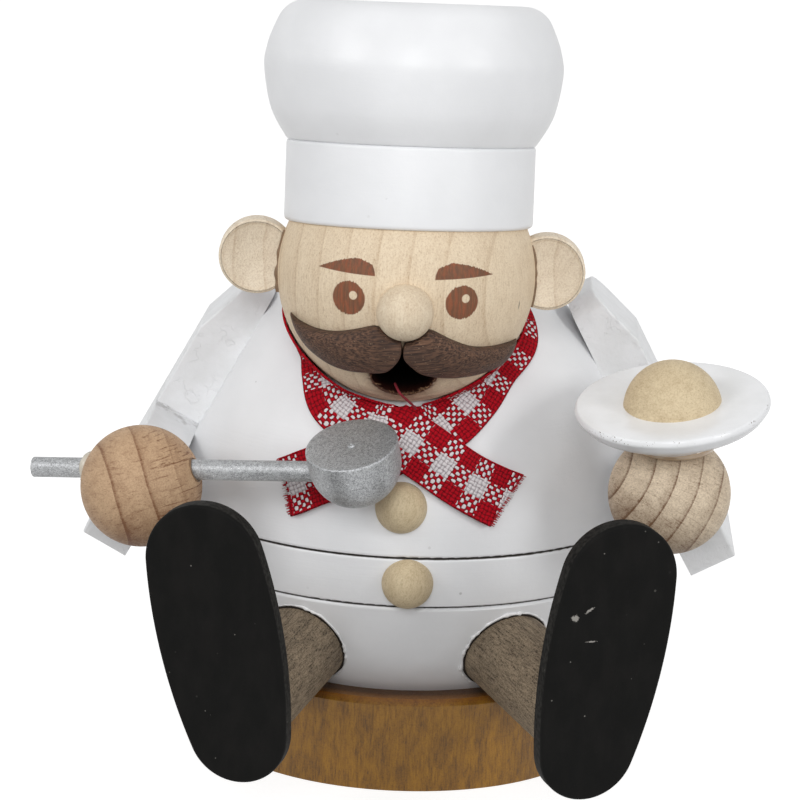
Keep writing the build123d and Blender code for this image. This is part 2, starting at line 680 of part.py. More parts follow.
def shoe_outline():
    """An egg of four arcs that run into each other: heel, toe and two bowed sides."""
    to_heel = SHOE_SIDE_RADIUS - SHOE_HEEL_RADIUS
    to_toe = SHOE_SIDE_RADIUS - SHOE_TOE_RADIUS
    level = (to_heel**2 - to_toe**2 + SHOE_CENTRES**2) / (SHOE_CENTRES + SHOE_CENTRES)
    bow = sqrt(to_heel**2 - level**2)
    low = degrees(asin(level / to_heel))
    high = degrees(asin((SHOE_CENTRES - level) / to_toe))
    heel = CenterArc((0, 0), SHOE_HEEL_RADIUS, HALF_TURN + low, HALF_TURN - low - low)
    toe = CenterArc((0, SHOE_CENTRES), SHOE_TOE_RADIUS, high, HALF_TURN - high - high)
    inner = CenterArc((-bow, level), SHOE_SIDE_RADIUS, -low, low + high)
    outer = CenterArc((bow, level), SHOE_SIDE_RADIUS, HALF_TURN - high, low + high)
    return make_face(heel + toe + inner + outer)


def shoe(side):
    """An egg-shaped board standing on its heel, glued to the square end of the leg."""
    end, way = leg_end(side)
    lean = SHOE_LEAN_ANGLE_RIGHT if side > 0 else -SHOE_LEAN_ANGLE_LEFT
    drop = SHOE_DROP_RIGHT if side > 0 else SHOE_DROP_LEFT
    plane = Plane(origin=end, x_dir=Vector(0, 0, 1).cross(way), z_dir=way)
    board = extrude(shoe_outline(), SHOE_THICKNESS)
    board = fillet(board.edges().group_by(Axis.Z)[-1] + board.edges().group_by(Axis.Z)[0], SHOE_EASE)
    board = plane * (Pos(-side * SHOE_INWARD, -drop) * Rot(0, 0, -lean) * board)
    return board - shoe_dowel(side, GLUE_FIT)


# Scarf
def ribbon(layer, low, high, sweep):
    """A strip of ribbon on the ball: between two latitudes, in degrees, round the Z axis."""
    inner = BALL_RADIUS + CLOTH_GAP + layer * RIBBON_LAYER
    outer = inner + RIBBON_THICKNESS
    ends = [(r * cos(radians(a)), r * sin(radians(a))) for r in (inner, outer) for a in (low, high)]
    sides = Line(ends[0], ends[2]) + Line(ends[1], ends[3])
    strip = CenterArc((0, 0), inner, low, high - low) + CenterArc((0, 0), outer, low, high - low) + sides
    return revolve(Plane.XZ * make_face(strip), Axis.Z, sweep)


CREASE = degrees(acos(SEAT_OUT / BALL_RADIUS))
ASIDE = (Vector(1, 0, 0) - NECK_AXIS * NECK_AXIS.X).normalized()
THROAT = ASIDE.cross(NECK_AXIS)


def below_crease(turn, drop):
    """The way to a point on the jacket: degrees round the neck, and the drop below its crease."""
    turn = radians(turn)
    down = radians(CREASE) + drop / BALL_RADIUS
    return NECK_AXIS * cos(down) + (ASIDE * sin(turn) + THROAT * cos(turn)) * sin(down)


def tail(layer, start_turn, end_turn, end_drop):
    """A straight length of ribbon laid on the ball, along a great circle from the throat."""
    first = below_crease(start_turn, RIBBON_WIDTH / 2 + TAIL_START_CLEAR)
    last = below_crease(end_turn, end_drop)
    half = degrees(RIBBON_WIDTH / BALL_RADIUS) / 2
    strip = ribbon(layer, -half, half, first.get_angle(last))
    return Plane(origin=BALL_CENTRE, x_dir=first, z_dir=first.cross(last)) * strip


def scarf():
    """One ribbon: round the neck, its inner edge tucked in the crease, crossed at the front."""
    inner = QUARTER_TURN - CREASE - degrees(NECKBAND_CLEAR / BALL_RADIUS)
    shown = inner - degrees(NECKBAND_SHOWN / BALL_RADIUS)
    ring = Plane(origin=BALL_CENTRE, z_dir=NECK_AXIS) * ribbon(0, shown, inner, FULL_TURN)
    left = tail(1, TAIL_LEFT_START_TURN, TAIL_LEFT_END_TURN, TAIL_LEFT_END_DOWN)
    right = tail(2, TAIL_RIGHT_START_TURN, TAIL_RIGHT_END_TURN, TAIL_RIGHT_END_DOWN)
    return ring + left + right


NODES = {
    "base_disc": base_disc,
    "lower_bowl": lower_bowl,
    "waist_ring": waist_ring,
    "jacket": jacket,
    "incense_dish": incense_dish,
    "dish_nail": dish_nail,
    "head": head,
    "nose": nose,
    "ear_left": lambda: ear(-1),
    "ear_right": lambda: ear(1),
    "moustache_left": lambda: moustache(-1),
    "moustache_right": lambda: moustache(1),
    "hat": hat,
    "hat_dowel": hat_dowel,
    "button_upper": lambda: button(BUTTON_UPPER_RISE, BUTTON_UPPER_TURN),
    "button_lower": lambda: button(BUTTON_LOWER_RISE, BUTTON_LOWER_TURN),
    "sleeve_left": lambda: sleeve(-1),
    "sleeve_right": lambda: sleeve(1),
    "arm_dowels": lambda: Compound(children=[arm_dowel(-1), arm_dowel(1)]),
    "hand_left": lambda: hand(-1),
    "hand_right": lambda: hand(1),
    "wrist_dowels": lambda: Compound(children=[wrist_dowel(-1), wrist_dowel(1)]),
    "ladle_handle": ladle_handle,
    "ladle_bowl": ladle_bowl,
    "plate": plate,
    "dumpling": dumpling,
    "leg_left": lambda: leg(-1),
    "leg_right": lambda: leg(1),
    "shoe_left": lambda: shoe(-1),
    "shoe_right": lambda: shoe(1),
    "shoe_dowels": lambda: Compound(children=[shoe_dowel(-1), shoe_dowel(1)]),
    "scarf": scarf,
}

for name, make in NODES.items():
    shape = make()
    shape.label = name
    export_step(shape, f"parts/{name}.step")
    print(name, len(shape.solids()), "solids", round(shape.volume, 1), "mm3")
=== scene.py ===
import bpy
import numpy as np
from mathutils import Matrix, Quaternion, Vector


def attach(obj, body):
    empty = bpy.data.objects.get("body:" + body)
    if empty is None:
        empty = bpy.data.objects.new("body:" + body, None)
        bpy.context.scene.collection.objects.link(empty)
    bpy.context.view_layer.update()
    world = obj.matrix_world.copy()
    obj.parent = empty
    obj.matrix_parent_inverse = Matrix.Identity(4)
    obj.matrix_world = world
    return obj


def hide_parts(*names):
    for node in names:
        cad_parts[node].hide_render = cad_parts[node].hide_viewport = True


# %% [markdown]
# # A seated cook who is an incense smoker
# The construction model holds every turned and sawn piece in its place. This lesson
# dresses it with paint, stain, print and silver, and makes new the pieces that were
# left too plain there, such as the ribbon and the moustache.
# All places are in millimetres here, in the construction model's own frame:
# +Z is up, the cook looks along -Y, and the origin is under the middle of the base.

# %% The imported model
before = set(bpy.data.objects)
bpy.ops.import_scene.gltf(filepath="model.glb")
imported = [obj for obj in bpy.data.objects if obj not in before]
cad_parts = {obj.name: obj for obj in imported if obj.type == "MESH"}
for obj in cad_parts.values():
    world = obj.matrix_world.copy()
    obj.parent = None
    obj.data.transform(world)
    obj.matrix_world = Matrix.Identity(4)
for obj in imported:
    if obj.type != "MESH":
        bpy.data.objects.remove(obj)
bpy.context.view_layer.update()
MM = 0.001

# %% Sizes and places that several pieces share
BALL = np.array((0.0, 0.0, 55.0))
BALL_RADIUS = 50.0
HEAD = np.array((-2.2, -34.95, 107.13))
HEAD_RADIUS = 25.8
HEAD_LEAN = np.radians(7.7)
HAT_AXIS = np.array((0.0, np.sin(HEAD_LEAN), np.cos(HEAD_LEAN)))
NECK = HEAD - BALL
NECK_LENGTH = np.linalg.norm(NECK)
NECK_AXIS = NECK / NECK_LENGTH
CLOTH_GAP = 0.3


def unit(steps):
    """Steps cut or drawn out to length 1."""
    steps = np.asarray(steps, float)
    return steps / np.linalg.norm(steps, axis=-1, keepdims=True)


print("the head's middle is", round(float(NECK_LENGTH), 1), "mm from the jacket's middle")

# %% [markdown]
# ## Camera
# The photograph was taken from the front and a little above, with a long lens, and
# the figure leans slightly to the right in it. A camera is put back at that place
# and turned about its own line of sight by that lean.

# %% Camera at the photograph's angle
EYE = Vector((-2.2, -750.0, 257.25)) * MM
AIM = Vector((-2.59, 0.0, 72.32)) * MM
LENS = 164.08
LEAN_IN_PICTURE = 2.09


def into_scene(name, data):
    """A new object for a mesh, lamp or camera, put into the scene."""
    made = bpy.data.objects.new(name, data)
    bpy.context.scene.collection.objects.link(made)
    return made


lens = bpy.data.cameras.new("camera")
lens.lens, lens.sensor_width, lens.sensor_fit = LENS, 36.0, "HORIZONTAL"
lens.clip_start, lens.clip_end = 0.05, 20.0
camera = into_scene("camera", lens)
camera.rotation_mode = "QUATERNION"
camera.location = EYE
camera.rotation_quaternion = (AIM - EYE).to_track_quat("-Z", "Y") @ Quaternion(
    (0, 0, 1), np.radians(LEAN_IN_PICTURE)
)
bpy.context.scene.camera = camera
bpy.context.scene.view_settings.view_transform = "Standard"
print("the camera is", round((AIM - EYE).length, 2), "m away")

# %% [markdown]
# ## Wires: material formulas written as sums
# A material is a net of small nodes. Adding and linking each by hand is long and
# hard to read, so a value that runs through the net is wrapped as a Wire: plus,
# minus, times and the other signs then place the Math node that they stand for.


# %% Wires, and colours as the eye sees them
def feed(place, value):
    """Gives an input a fixed value, or links a wire to it."""
    if isinstance(value, Wire):
        value.tree.links.new(value.socket, place)
    else:
        place.default_value = value


def add_node(tree, kind, inputs, **settings):
    """Adds a node, sets it up and feeds its inputs; gives a wire for each output."""
    made = tree.nodes.new("ShaderNode" + kind)
    for name, value in settings.items():
        setattr(made, name, value)
    for name, value in inputs.items():
        feed(made.inputs[name], value)
    return [Wire(tree, out) for out in made.outputs]


class Wire:
    """One value on its way through a material; each sign adds one Math node. The sign | gives
    the larger of two values."""

    def __init__(self, tree, socket):
        self.tree, self.socket = tree, socket

    def math(self, operation, *others):
        values = dict(enumerate((self, *others)))
        return add_node(self.tree, "Math", values, operation=operation)[0]

    def __add__(self, other):
        return self.math("ADD", other)

    def __sub__(self, other):
        return self.math("SUBTRACT", other)

    def __rsub__(self, other):
        return self.math("MULTIPLY_ADD", -1.0, other)

    def __mul__(self, other):
        return self.math("MULTIPLY", other)

    def __truediv__(self, other):
        return self.math("DIVIDE", other)

    def __or__(self, other):
        return self.math("MAXIMUM", other)

    __radd__, __rmul__ = __add__, __mul__

    def up(self, low, high):
        """0 below low and 1 above high, eased in between; low above high turns it round."""
        values = dict(enumerate((self, min(low, high), max(low, high), 0.0, 1.0)))
        eased = add_node(self.tree, "MapRange", values, interpolation_type="SMOOTHSTEP")[0]
        return 1.0 - eased if low > high else eased


def seen(red, green, blue):
    """A colour as it is read off a screen, 0 to 255, turned into light."""
    share = np.array((red, green, blue)) / 255.0
    light = np.where(share <= 0.04045, share / 12.92, ((share + 0.055) / 1.055) ** 2.4)
    return (*light.tolist(), 1.0)


print("a mid grey, 128 of 255, gives off", round(seen(128, 128, 128)[0], 3), "of white's light")

# %% [markdown]
# ## A finish
# Each finish is a Principled shader with colour, roughness and a little relief.
# It reads Object coordinates, in millimetres, so grain and specks have a real size.
# A finish can be centred on its piece and turned so that its own Z runs with the grain.


# %% Finish: one material and the tools to build it
class Finish:
    """A material with formulas in millimetres about a centre, Z along the grain."""

    def __init__(self, name, centre=(0, 0, 0), grain=(0, 0, 1), across=(1, 0, 0)):
        self.material = bpy.data.materials.new(name)
        self.material.use_nodes = True
        self.tree = self.material.node_tree
        self.shader = self.tree.nodes["Principled BSDF"]
        z = unit(grain)
        x = unit(across - z * np.dot(across, z))
        turn = Matrix(np.column_stack((x, np.cross(z, x), z)).tolist()).to_euler()
        _, _, _, in_object, *_ = self.add("TexCoord", {})
        self.place = self.add("Mapping", {
            "Vector": in_object, "Location": [c * MM for c in centre], "Rotation": turn,
            "Scale": (MM, MM, MM),
        }, vector_type="TEXTURE")[0]
        self.x, self.y, self.z = self.parts(self.place)
        self.relief = None

    def add(self, kind, inputs, **settings):
        return add_node(self.tree, kind, inputs, **settings)

    def parts(self, vector):
        return self.add("SeparateXYZ", {0: vector})

    def join(self, x, y, z):
        return self.add("CombineXYZ", {0: x, 1: y, 2: z})[0]

    def length(self, x, y, z):
        """The length of a step whose three parts are given."""
        return self.add("VectorMath", {0: self.join(x, y, z)}, operation="LENGTH")[1]

    def stretched(self, vector, sizes):
        """The place measured in steps of these sizes, so one step is one unit."""
        return self.add("VectorMath", {0: vector, 1: sizes}, operation="DIVIDE")[0]

    def noise(self, size, detail=3.0, rough=0.55, where=None):
        """Cloudy noise, 0 to 1, whose patches are about size mm; three sizes stretch it."""
        sizes = size if hasattr(size, "__len__") else (size, size, size)
        place = self.stretched(where or self.place, sizes)
        inputs = {"Vector": place, "Scale": 1.0, "Detail": detail, "Roughness": rough}
        return self.add("TexNoise", inputs)[0]

    def cells(self, size):
        """Cells about size mm wide: the distance to a cell's middle, and a random value each."""
        place = self.stretched(self.place, (size, size, size))
        distance, colour, *_ = self.add("TexVoronoi", {"Vector": place, "Scale": 1.0})
        return distance, self.parts(colour)[0]

    def specks(self, size, share):
        """1 on rare small spots: cells size mm wide, of which the given share has a spot."""
        distance, chance = self.cells(size)
        return distance.up(0.36, 0.2) * chance.up(1.0 - share, 1.0 - share + 0.01)

    def blend(self, factor, first, second):
        """A colour between two others."""
        return self.add("Mix", {0: factor, 6: first, 7: second}, data_type="RGBA")[2]

    def bump(self, height, depth):
        """Relief: height 0 to 1 stands for depth mm, laid over the relief before it."""
        inputs = {"Strength": 1.0, "Distance": depth * MM, "Height": height}
        if self.relief:
            inputs["Normal"] = self.relief
        self.relief = self.add("Bump", inputs)[0]

    def done(self, colour, roughness, **others):
        """Feeds the shader its colour, roughness, relief and other inputs."""
        if self.relief:
            feed(self.shader.inputs["Normal"], self.relief)
        for name, value in {"Base_Color": colour, "Roughness": roughness, **others}.items():
            feed(self.shader.inputs[name.replace("_", " ")], value)
        return self.material


print("a finish counts in steps of", MM, "m")

# %% [markdown]
# ## Surfaces from rows of points
# Every new piece is a skin: rows of points, each a ring round the piece, one after the
# other. Numpy works out all rows at once. A ring that ends a piece is closed with a pole,
# and the faces are turned outwards by the sign of the volume that they enclose.


# %% Skins, curves and turned profiles
def skin(rows, closed=True, ends="poles"):
    """Points and faces of a grid of rows. Closed joins each row's own ends. Ends says how the
    first and last rows finish: "poles" caps each with a fan, "loop" joins them, "open" neither."""
    rows = np.asarray(rows, float)
    count, around = rows.shape[:2]
    number = np.arange(count * around).reshape(count, around)
    if ends == "loop":
        number = np.vstack((number, number[:1]))
    here = number if closed else number[:, :-1]
    there = np.roll(number, -1, axis=1) if closed else number[:, 1:]
    quads = np.stack((here[:-1], there[:-1], there[1:], here[1:]), axis=-1).reshape(-1, 4)
    points, faces = rows.reshape(-1, 3), quads.tolist()
    if ends == "poles":
        for row, order in ((0, -1), (count - 1, 1)):
            pole = np.full(around, len(points))
            points = np.vstack((points, rows[row].mean(axis=0)))
            faces += np.stack((here[row], there[row], pole), axis=-1)[:, ::order].tolist()
    if closed and ends != "open":
        first, second, third, fourth = (points[[f[i] for f in faces]] for i in (0, 1, 2, -1))
        volume = np.einsum("ij,ij->", first, np.cross(second, third) + np.cross(third, fourth))
        if volume < 0:
            faces = [f[::-1] for f in faces]
    return points, faces


def together(skins):
    """Several skins as one: the points stacked, each skin's faces renumbered."""
    points, faces, count = [], [], 0
    for own_points, own_faces in skins:
        points.append(own_points)
        faces += [[i + count for i in face] for face in own_faces]
        count += len(own_points)
    return np.vstack(points), faces


def piece(name, points, faces, finish, body="upper_body", stands_for=(), *, slot):
    """Puts points and faces into a mesh object that rides on its body and has its finish."""
    mesh = bpy.data.meshes.new(name)
    mesh.from_pydata((np.asarray(points) * MM).tolist(), [], faces)
    mesh.polygons.foreach_set("use_smooth", [True] * len(mesh.polygons))
    mesh.materials.append(finish)
    made = into_scene(name, mesh)
    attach(made, body)
    if stands_for:
        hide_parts(*stands_for)
    print(name, len(points), "points")
    return made


def dress(finish, *nodes):
    """Gives construction pieces that keep their shape a finish."""
    for node in nodes:
        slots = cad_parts[node].data.materials
        slots.clear()
        slots.append(finish)


def through(points, count, closed=False):
    """A smooth line through points: each span is the cubic whose end slopes are half the step
    between the neighbours of its ends."""
    p = np.asarray(points, float)
    if closed:
        p = np.vstack((p[-1:], p, p[:2]))
    else:
        p = np.vstack((2 * p[0] - p[1], p, 2 * p[-1] - p[-2]))
    s = np.linspace(0, len(p) - 3, count, endpoint=not closed)
    i = np.minimum(s.astype(int), len(p) - 4)
    t = (s - i)[:, None]
    a, b, c, d = p[i], p[i + 1], p[i + 2], p[i + 3]
    steep = 3 * (b - c) + d - a
    return b + t / 2 * (c - a + t * (2 * a - 5 * b + 4 * c - d + t * steep))


def eased(corners, radii, steps=6):
    """A profile of straight runs whose corners are rounded: each corner becomes the parabola
    that leaves one run and meets the next at the given distance from the corner."""
    corners = np.asarray(corners, float)
    t = np.linspace(0, 1, steps)[:, None]
    line = [corners[:1]]
    for before, here, after, radius in zip(corners, corners[1:], corners[2:], radii):
        into, out = before - here, after - here
        start, end = here + unit(into) * radius, here + unit(out) * radius
        line.append((1 - t) ** 2 * start + 2 * t * (1 - t) * here + t**2 * end)
    return np.vstack((*line, corners[-1:]))


def square_to(axis):
    """Two directions at right angles to an axis and to each other."""
    x = unit(np.cross(axis, (0.0, 1.0, 0.0) if abs(axis[1]) < 0.9 else (0.0, 0.0, 1.0)))
    return x, np.cross(axis, x)


def full_turn(count):
    """The angles of a whole turn in even steps."""
    return np.linspace(0, 2 * np.pi, count, endpoint=False)


def circle(angle, x, y):
    """Points at these angles on a circle of radius 1, which starts at x and turns to y."""
    return np.cos(angle)[..., None] * x + np.sin(angle)[..., None] * y


def turned(profile, origin, axis, around=144):
    """Rings of a turned piece: radius and height of each profile point, carried round an axis."""
    axis = unit(axis)
    ring = circle(full_turn(around), *square_to(axis))
    profile = np.asarray(profile, float)
    return origin + profile[:, :1, None] * ring + profile[:, 1:, None] * axis


SKEW = (0.31, 0.87, 0.38)


def strand(line, thickness, around=7, closed=False):
    """Rings of a round strand: at each point of a line, a circle square to the way along it.
    Its first point lies square to a skew direction that no line here runs in."""
    line = np.asarray(line, float)
    if closed:
        way = np.roll(line, -1, axis=0) - np.roll(line, 1, axis=0)
    else:
        way = np.gradient(line, axis=0)
    way = unit(way)
    side = unit(np.cross(way, SKEW))
    ring = circle(full_turn(around), side[:, None], np.cross(way, side)[:, None])
    return line[:, None] + np.asarray(thickness, float).reshape(-1, 1, 1) * ring


def hoop(line, thickness, around=7):
    """Skin of a strand that runs back into its own start."""
    return skin(strand(line, thickness, around, True), ends="loop")


CHANCE = np.random.default_rng(8)


def uneven(count, size, closed=True):
    """A seeded wavy list, 0 to 1: random values at every size-th step, eased in between."""
    knots = CHANCE.random(max(4, count // size))
    return np.clip(through(knots[:, None], count, closed)[:, 0], 0, 1)


print("skins, lines, turnings and strands are ready")

# %% [markdown]
# ## White paint
# Body and hat are sprayed white on turned wood. The paint is satin, with a fine orange
# peel, faint marks round the lathe's axis and rare specks of dust. The body was cut into
# three after turning, so the paint is open in a thin dark line at each seam. It has run
# across the lower one in places. Inside, the wood is bare.


# %% White paint
def white(f, peel, peel_size, lathe):
    """White that hardly changes shade, with rare specks; leaves the relief in the finish."""
    colour = f.blend(f.noise(16.0, 3).up(0.3, 0.75), seen(235, 236, 238), seen(241, 242, 244))
    f.bump(f.noise((9.0, 9.0, 0.4), 2), lathe)
    f.bump(f.noise(peel_size, 3, 0.6), peel)
    return f.blend(f.specks(1.1, 0.005) * 0.8, colour, seen(92, 84, 76))


f = Finish("white paint on the hat")
HAT_PAINT = f.done(white(f, 0.03, 1.3, 0.012), f.noise(6.0, 2) * 0.08 + 0.34)

SEAMS = (52.0 - BALL[2], 41.3 - BALL[2])
f = Finish("white paint on the body", BALL)
colour = white(f, 0.035, 1.2, 0.03)
deep = BALL_RADIUS - f.length(f.x, f.y, f.z)
ragged = f.noise((1.6, 1.6, 3.0), 3) * 0.14
upper, lower = ((f.z - seam).math("ABSOLUTE") + ragged for seam in SEAMS)
unbridged = f.noise((6.0, 6.0, 30.0), 2).up(0.36, 0.44)
open_paint = upper.up(0.40, 0.22) | lower.up(0.40, 0.20) * unbridged
colour = f.blend(open_paint * deep.up(0.02, 0.12), colour, seen(58, 53, 48))
joint = (upper.up(0.2, 0.1) | lower.up(0.2, 0.1)) * deep.up(0.75, 0.8)
bare = deep.up(5.2, 5.6) | joint
fibres = f.noise((0.5, 0.5, 9.0), 3).up(0.35, 0.7)
lime = f.blend(fibres, seen(222, 200, 160), seen(190, 160, 116))
soot = f.noise(9.0, 3).up(0.4, 0.75) * deep.up(7.0, 20.0)
lime = f.blend(soot * 0.55, lime, seen(92, 62, 34))
BODY_PAINT = f.done(f.blend(bare, colour, lime), f.noise(6.0, 2) * 0.1 + 0.36)
dress(BODY_PAINT, "lower_bowl", "waist_ring", "jacket")
print("painted the body")

# %% [markdown]
# ## Brushed paint on the sleeves
# The sleeves are board, painted thicker. The paint has shrunk into a coarse orange peel
# and creased across the elbow, where two saw cuts meet. The thin wandering cracks lie
# where a slow noise crosses its own middle value.

# %% Sleeve paint
SLEEVES = {
    "sleeve_left": ((-39.69, 1.32, 76.38), (-0.474, 0.016, -0.880), (-0.880, 0.029, 0.474)),
    "sleeve_right": ((42.06, -1.40, 77.66), (0.474, -0.016, -0.880), (0.880, -0.029, 0.474)),
}
ELBOW = 9.4
for node, (origin, down, out) in SLEEVES.items():
    f = Finish("brushed white paint of " + node, origin, down, out)
    colour = f.blend(f.noise(7.0, 3).up(0.3, 0.7), seen(232, 233, 234), seen(241, 242, 244))
    wandering = (f.noise(2.6, 3, 0.5) - 0.5).math("ABSOLUTE")
    crack = wandering.up(0.012, 0.002) * f.noise(6.0, 1).up(0.48, 0.6)
    crease = (f.z - ELBOW + f.noise(3.0, 3) - 0.5).math("ABSOLUTE").up(0.22, 0.06)
    # Along the crease the colour turns grey in broken patches: painted shade in the fold.
    colour = f.blend(crease * f.noise(2.2, 2).up(0.35, 0.6) * 0.4, colour, seen(120, 114, 108))
    f.bump(f.noise(1.3, 4, 0.65), 0.16)
    f.bump(crack * 0.6 + crease, -0.1)
    dress(f.done(colour, f.noise(3.0, 2) * 0.15 + 0.34), node)
print("painted the sleeves")

# %% [markdown]
# ## Paint at the leg holes
# The leg holes were drilled through fresh paint. It stands up as a ragged white lip round
# each hole, with a dark gap inside it. Both are strands that follow the line where the
# leg's cylinder meets the ball.

# %% Lip and gap round each leg
LEGS = {
    "left": (np.array((-20.766, -37.665, 29.503)), np.array((-0.2785, -0.9587, -0.0576))),
    "right": (np.array((21.029, -37.519, 29.503)), np.array((0.3708, -0.9269, -0.0576))),
}
LEG_RADIUS, LEG_REACH = 9.0, 42.8
HOLE_STEPS = 240


def onto_ball(steps, way, radius, sign):
    """Steps from a ball's middle, drawn out along a way until they are radius long: on the
    side that the way comes from for sign -1, and on the side that it goes to for 1."""
    along = steps @ way
    reach = sign * np.sqrt(along**2 - (steps**2).sum(axis=1) + radius**2) - along
    return steps + reach[:, None] * way


def on_hole(side, radius, proud):
    """The ring where a cylinder about the leg meets the body ball, raised by proud mm."""
    origin, way = LEGS[side]
    radius = np.asarray(radius, float).reshape(-1, 1)
    foot = origin + radius * circle(full_turn(HOLE_STEPS), *square_to(way)) - BALL
    return BALL + onto_ball(foot, way, BALL_RADIUS + proud, 1)


def mottled(name, size, first, second, rough, relief=(), **others):
    """A plain finish: cloudy patches of two colours; relief gives its noise and its depth."""
    f = Finish(name)
    if relief:
        f.bump(f.noise(*relief[:2]), relief[2])
    return f.done(f.blend(f.noise(size), seen(*first), seen(*second)), rough, **others)


LIP_PAINT = mottled("lip of white paint", 1.5, (226, 226, 226), (242, 242, 243), 0.32,
                    relief=(0.7, 3, 0.12))
GAP = mottled("dark gap", 1.0, (26, 22, 20), (52, 44, 38), 0.85, Specular_IOR_Level=0.2)
for side in LEGS:
    swell = uneven(HOLE_STEPS, 3) * 0.6 + uneven(HOLE_STEPS, 17) * 0.4
    edge = on_hole(side, LEG_RADIUS + 0.5 + 0.5 * swell * uneven(HOLE_STEPS, 4), 0.02)
    piece("paint_lip_" + side, *hoop(edge, 0.08 + 0.55 * swell**2, 9), LIP_PAINT, "lower_body",
          slot="white_paint")
    edge = on_hole(side, LEG_RADIUS + 0.12, 0.05)
    piece("hole_gap_" + side, *hoop(edge, 0.16 + 0.2 * uneven(HOLE_STEPS, 9)), GAP, "lower_body",
          slot="dark_stain")

# %% [markdown]
# ## Wood
# Wood is rings about a pith, drawn out along the grain. A ring starts pale and ends in a
# thin dark line. Fibres and pores are noise stretched along the grain, and rays are short
# marks that run across the rings. One formula does for maple, beech and the stained
# pieces: only the colours and the strength of each part change.


# %% Wood
def wood_colour(f, pale, dark, pith, ring, line=0.5, fibre=0.35, pore=0.4, ray=0.0, grit=0.25,
                wave=0.25, start=0.0, long=14.0, check=0.0, patch=0.0, grime=0.0):
    """Pale wood, darker by the late edge of each ring, by fibres, pores, rays, fine grit, drying
    checks and patches, and by painted shade on the low side. Gives the colour, late edges, fibres
    and pores."""
    far_x, far_y = f.x - pith[0], f.y - pith[1]
    wander = f.noise((9.0, 9.0, 60.0), 2) * (ring * wave)
    radius = f.length(far_x, far_y, 0.0) + wander
    phase = (radius / ring + start).math("FRACT")
    late = phase.up(0.4, 1.0) * 0.35 + phase.up(0.86, 0.97) * phase.up(1.0, 0.975) * 0.65
    streak = f.noise((0.35, 0.35, long), 4, 0.6).up(0.35, 0.75)
    pores = f.noise((0.17, 0.17, 1.4), 2, 0.5).up(0.58, 0.72)
    angle = far_y.math("ARCTAN2", far_x) * 40.0
    polar = f.stretched(f.join(angle, radius, f.z), (0.3, 4.0, 2.5))
    rays = f.noise(1.0, 2, 0.5, polar).up(0.6, 0.7)
    fine = f.noise(0.33, 2, 0.6).up(0.42, 0.72)
    zone = f.x.up(-2.0, 4.0) * check
    checks = f.noise((6.0, 0.42, 6.0), 3).up(0.57, 0.66)
    patches = f.noise((2.2, 2.2, 6.0), 3).up(0.35, 0.7)
    # The last term darkens the wood towards its low side: painted shade.
    amount = (late * line * (1.0 - zone) + streak * fibre + pores * pore + rays * ray + fine * grit
              + checks * zone + patches * patch + f.y.up(-1.0, -12.0) * grime)
    return f.blend(amount.math("MINIMUM", 1.0), pale, dark), late, streak, pores


def wood(name, centre, grain, across, pale, dark, pith, ring, rough=0.55, **strengths):
    """A finish of plain wood, with fibres, pores and late edges as its relief."""
    f = Finish(name, centre, grain, across)
    colour, late, streak, pores = wood_colour(f, pale, dark, pith, ring, **strengths)
    f.bump(streak + pores + late, 0.03)
    return f.done(colour, streak * 0.1 + rough, Specular_IOR_Level=0.3)


MAPLE, MAPLE_DARK = seen(237, 219, 191), seen(172, 138, 102)
BEECH, BEECH_DARK = seen(204, 172, 138), seen(120, 80, 52)
HAND_LEFT = np.array((-53.70, -45.41, 63.90))
HAND_RIGHT = np.array((51.65, -49.58, 67.55))
PLATE_UP = unit((-np.tan(np.radians(6.6)), -np.tan(np.radians(10.4)), 1.0))
PLATE_SEAT = HAND_RIGHT + PLATE_UP * 11.8 + (1.6, 0, 0)
PALE, PALE_DARK = seen(234, 218, 192), seen(170, 136, 100)
HONEY, HONEY_DARK = seen(222, 204, 170), seen(146, 118, 78)
bare = {
    "nose": (HEAD + (0, -25.7, -2.4), (0, 0, 1), PALE, PALE_DARK, (60, 20), 6.0),
    "dumpling": (PLATE_SEAT + PLATE_UP * 8, (0.1, -1, 0.3), HONEY, HONEY_DARK, (3, 30), 7.0),
    "button_upper": ((-1.5, -49, 62.4), (0.4, 0.2, 1), HONEY, HONEY_DARK, (9, 19), 3.6),
    "button_lower": ((0, -49, 46.6), (0.3, 0.1, 1), HONEY, HONEY_DARK, (9, -19), 3.6),
}
for node, (centre, grain, *facts) in bare.items():
    dress(wood("bare wood of the " + node, centre, grain, (1, 0, 0), *facts, line=0.05, fibre=0.2,
               pore=0.25, grit=0.2, patch=0.16), node)
hands = {
    "hand_left": ((HAND_LEFT, (0.25, -1.0, 0.2), (1, 0, 0.3), BEECH, BEECH_DARK,
                   (60, 2), 6.47), 0.565, 0.6),
    "hand_right": ((HAND_RIGHT, (0, -0.97, 0.24), (0.86, 0, -0.5), seen(232, 214, 188),
                    seen(112, 82, 58), (-30, -4), 4.6), 0.45, 0.15),
}
for node, (facts, start, check) in hands.items():
    dress(wood("beech of " + node, *facts, line=0.6, fibre=0.2, pore=0.3, ray=0.25, grit=0.2,
               wave=0.1, patch=0.2, grime=0.5, start=start, check=check), node)
STAIN, STAIN_DARK = seen(154, 137, 114), seen(58, 47, 36)
for side, (origin, way) in LEGS.items():
    dress(wood("stained leg " + side, origin, way, (0, 0, 1), STAIN, STAIN_DARK, (6, 60), 5.0, 0.7,
               line=0.1, fibre=0.5, pore=0.5, grit=0.6, long=3.0, patch=0.2), "leg_" + side)
f = Finish("stained base")
colour, _, streak, pores = wood_colour(f, seen(166, 117, 32), seen(84, 52, 10), (10, 90), 9.0,
                                       line=0.12, fibre=0.45, pore=0.3, long=3.0, patch=0.4)
# The top face is painted darker and redder, and near black round the foot of the body: painted
# shade under the overhanging body.
top = f.z.up(18.2, 19.2)
colour = f.blend(top * 0.35, colour, seen(132, 70, 34))
colour = f.blend(top * f.length(f.x, f.y, 0.0).up(40.6, 37.6) * 0.75, colour, seen(52, 28, 10))
f.bump(streak + pores, 0.03)
dress(f.done(colour, streak * 0.1 + 0.34), "base_disc")
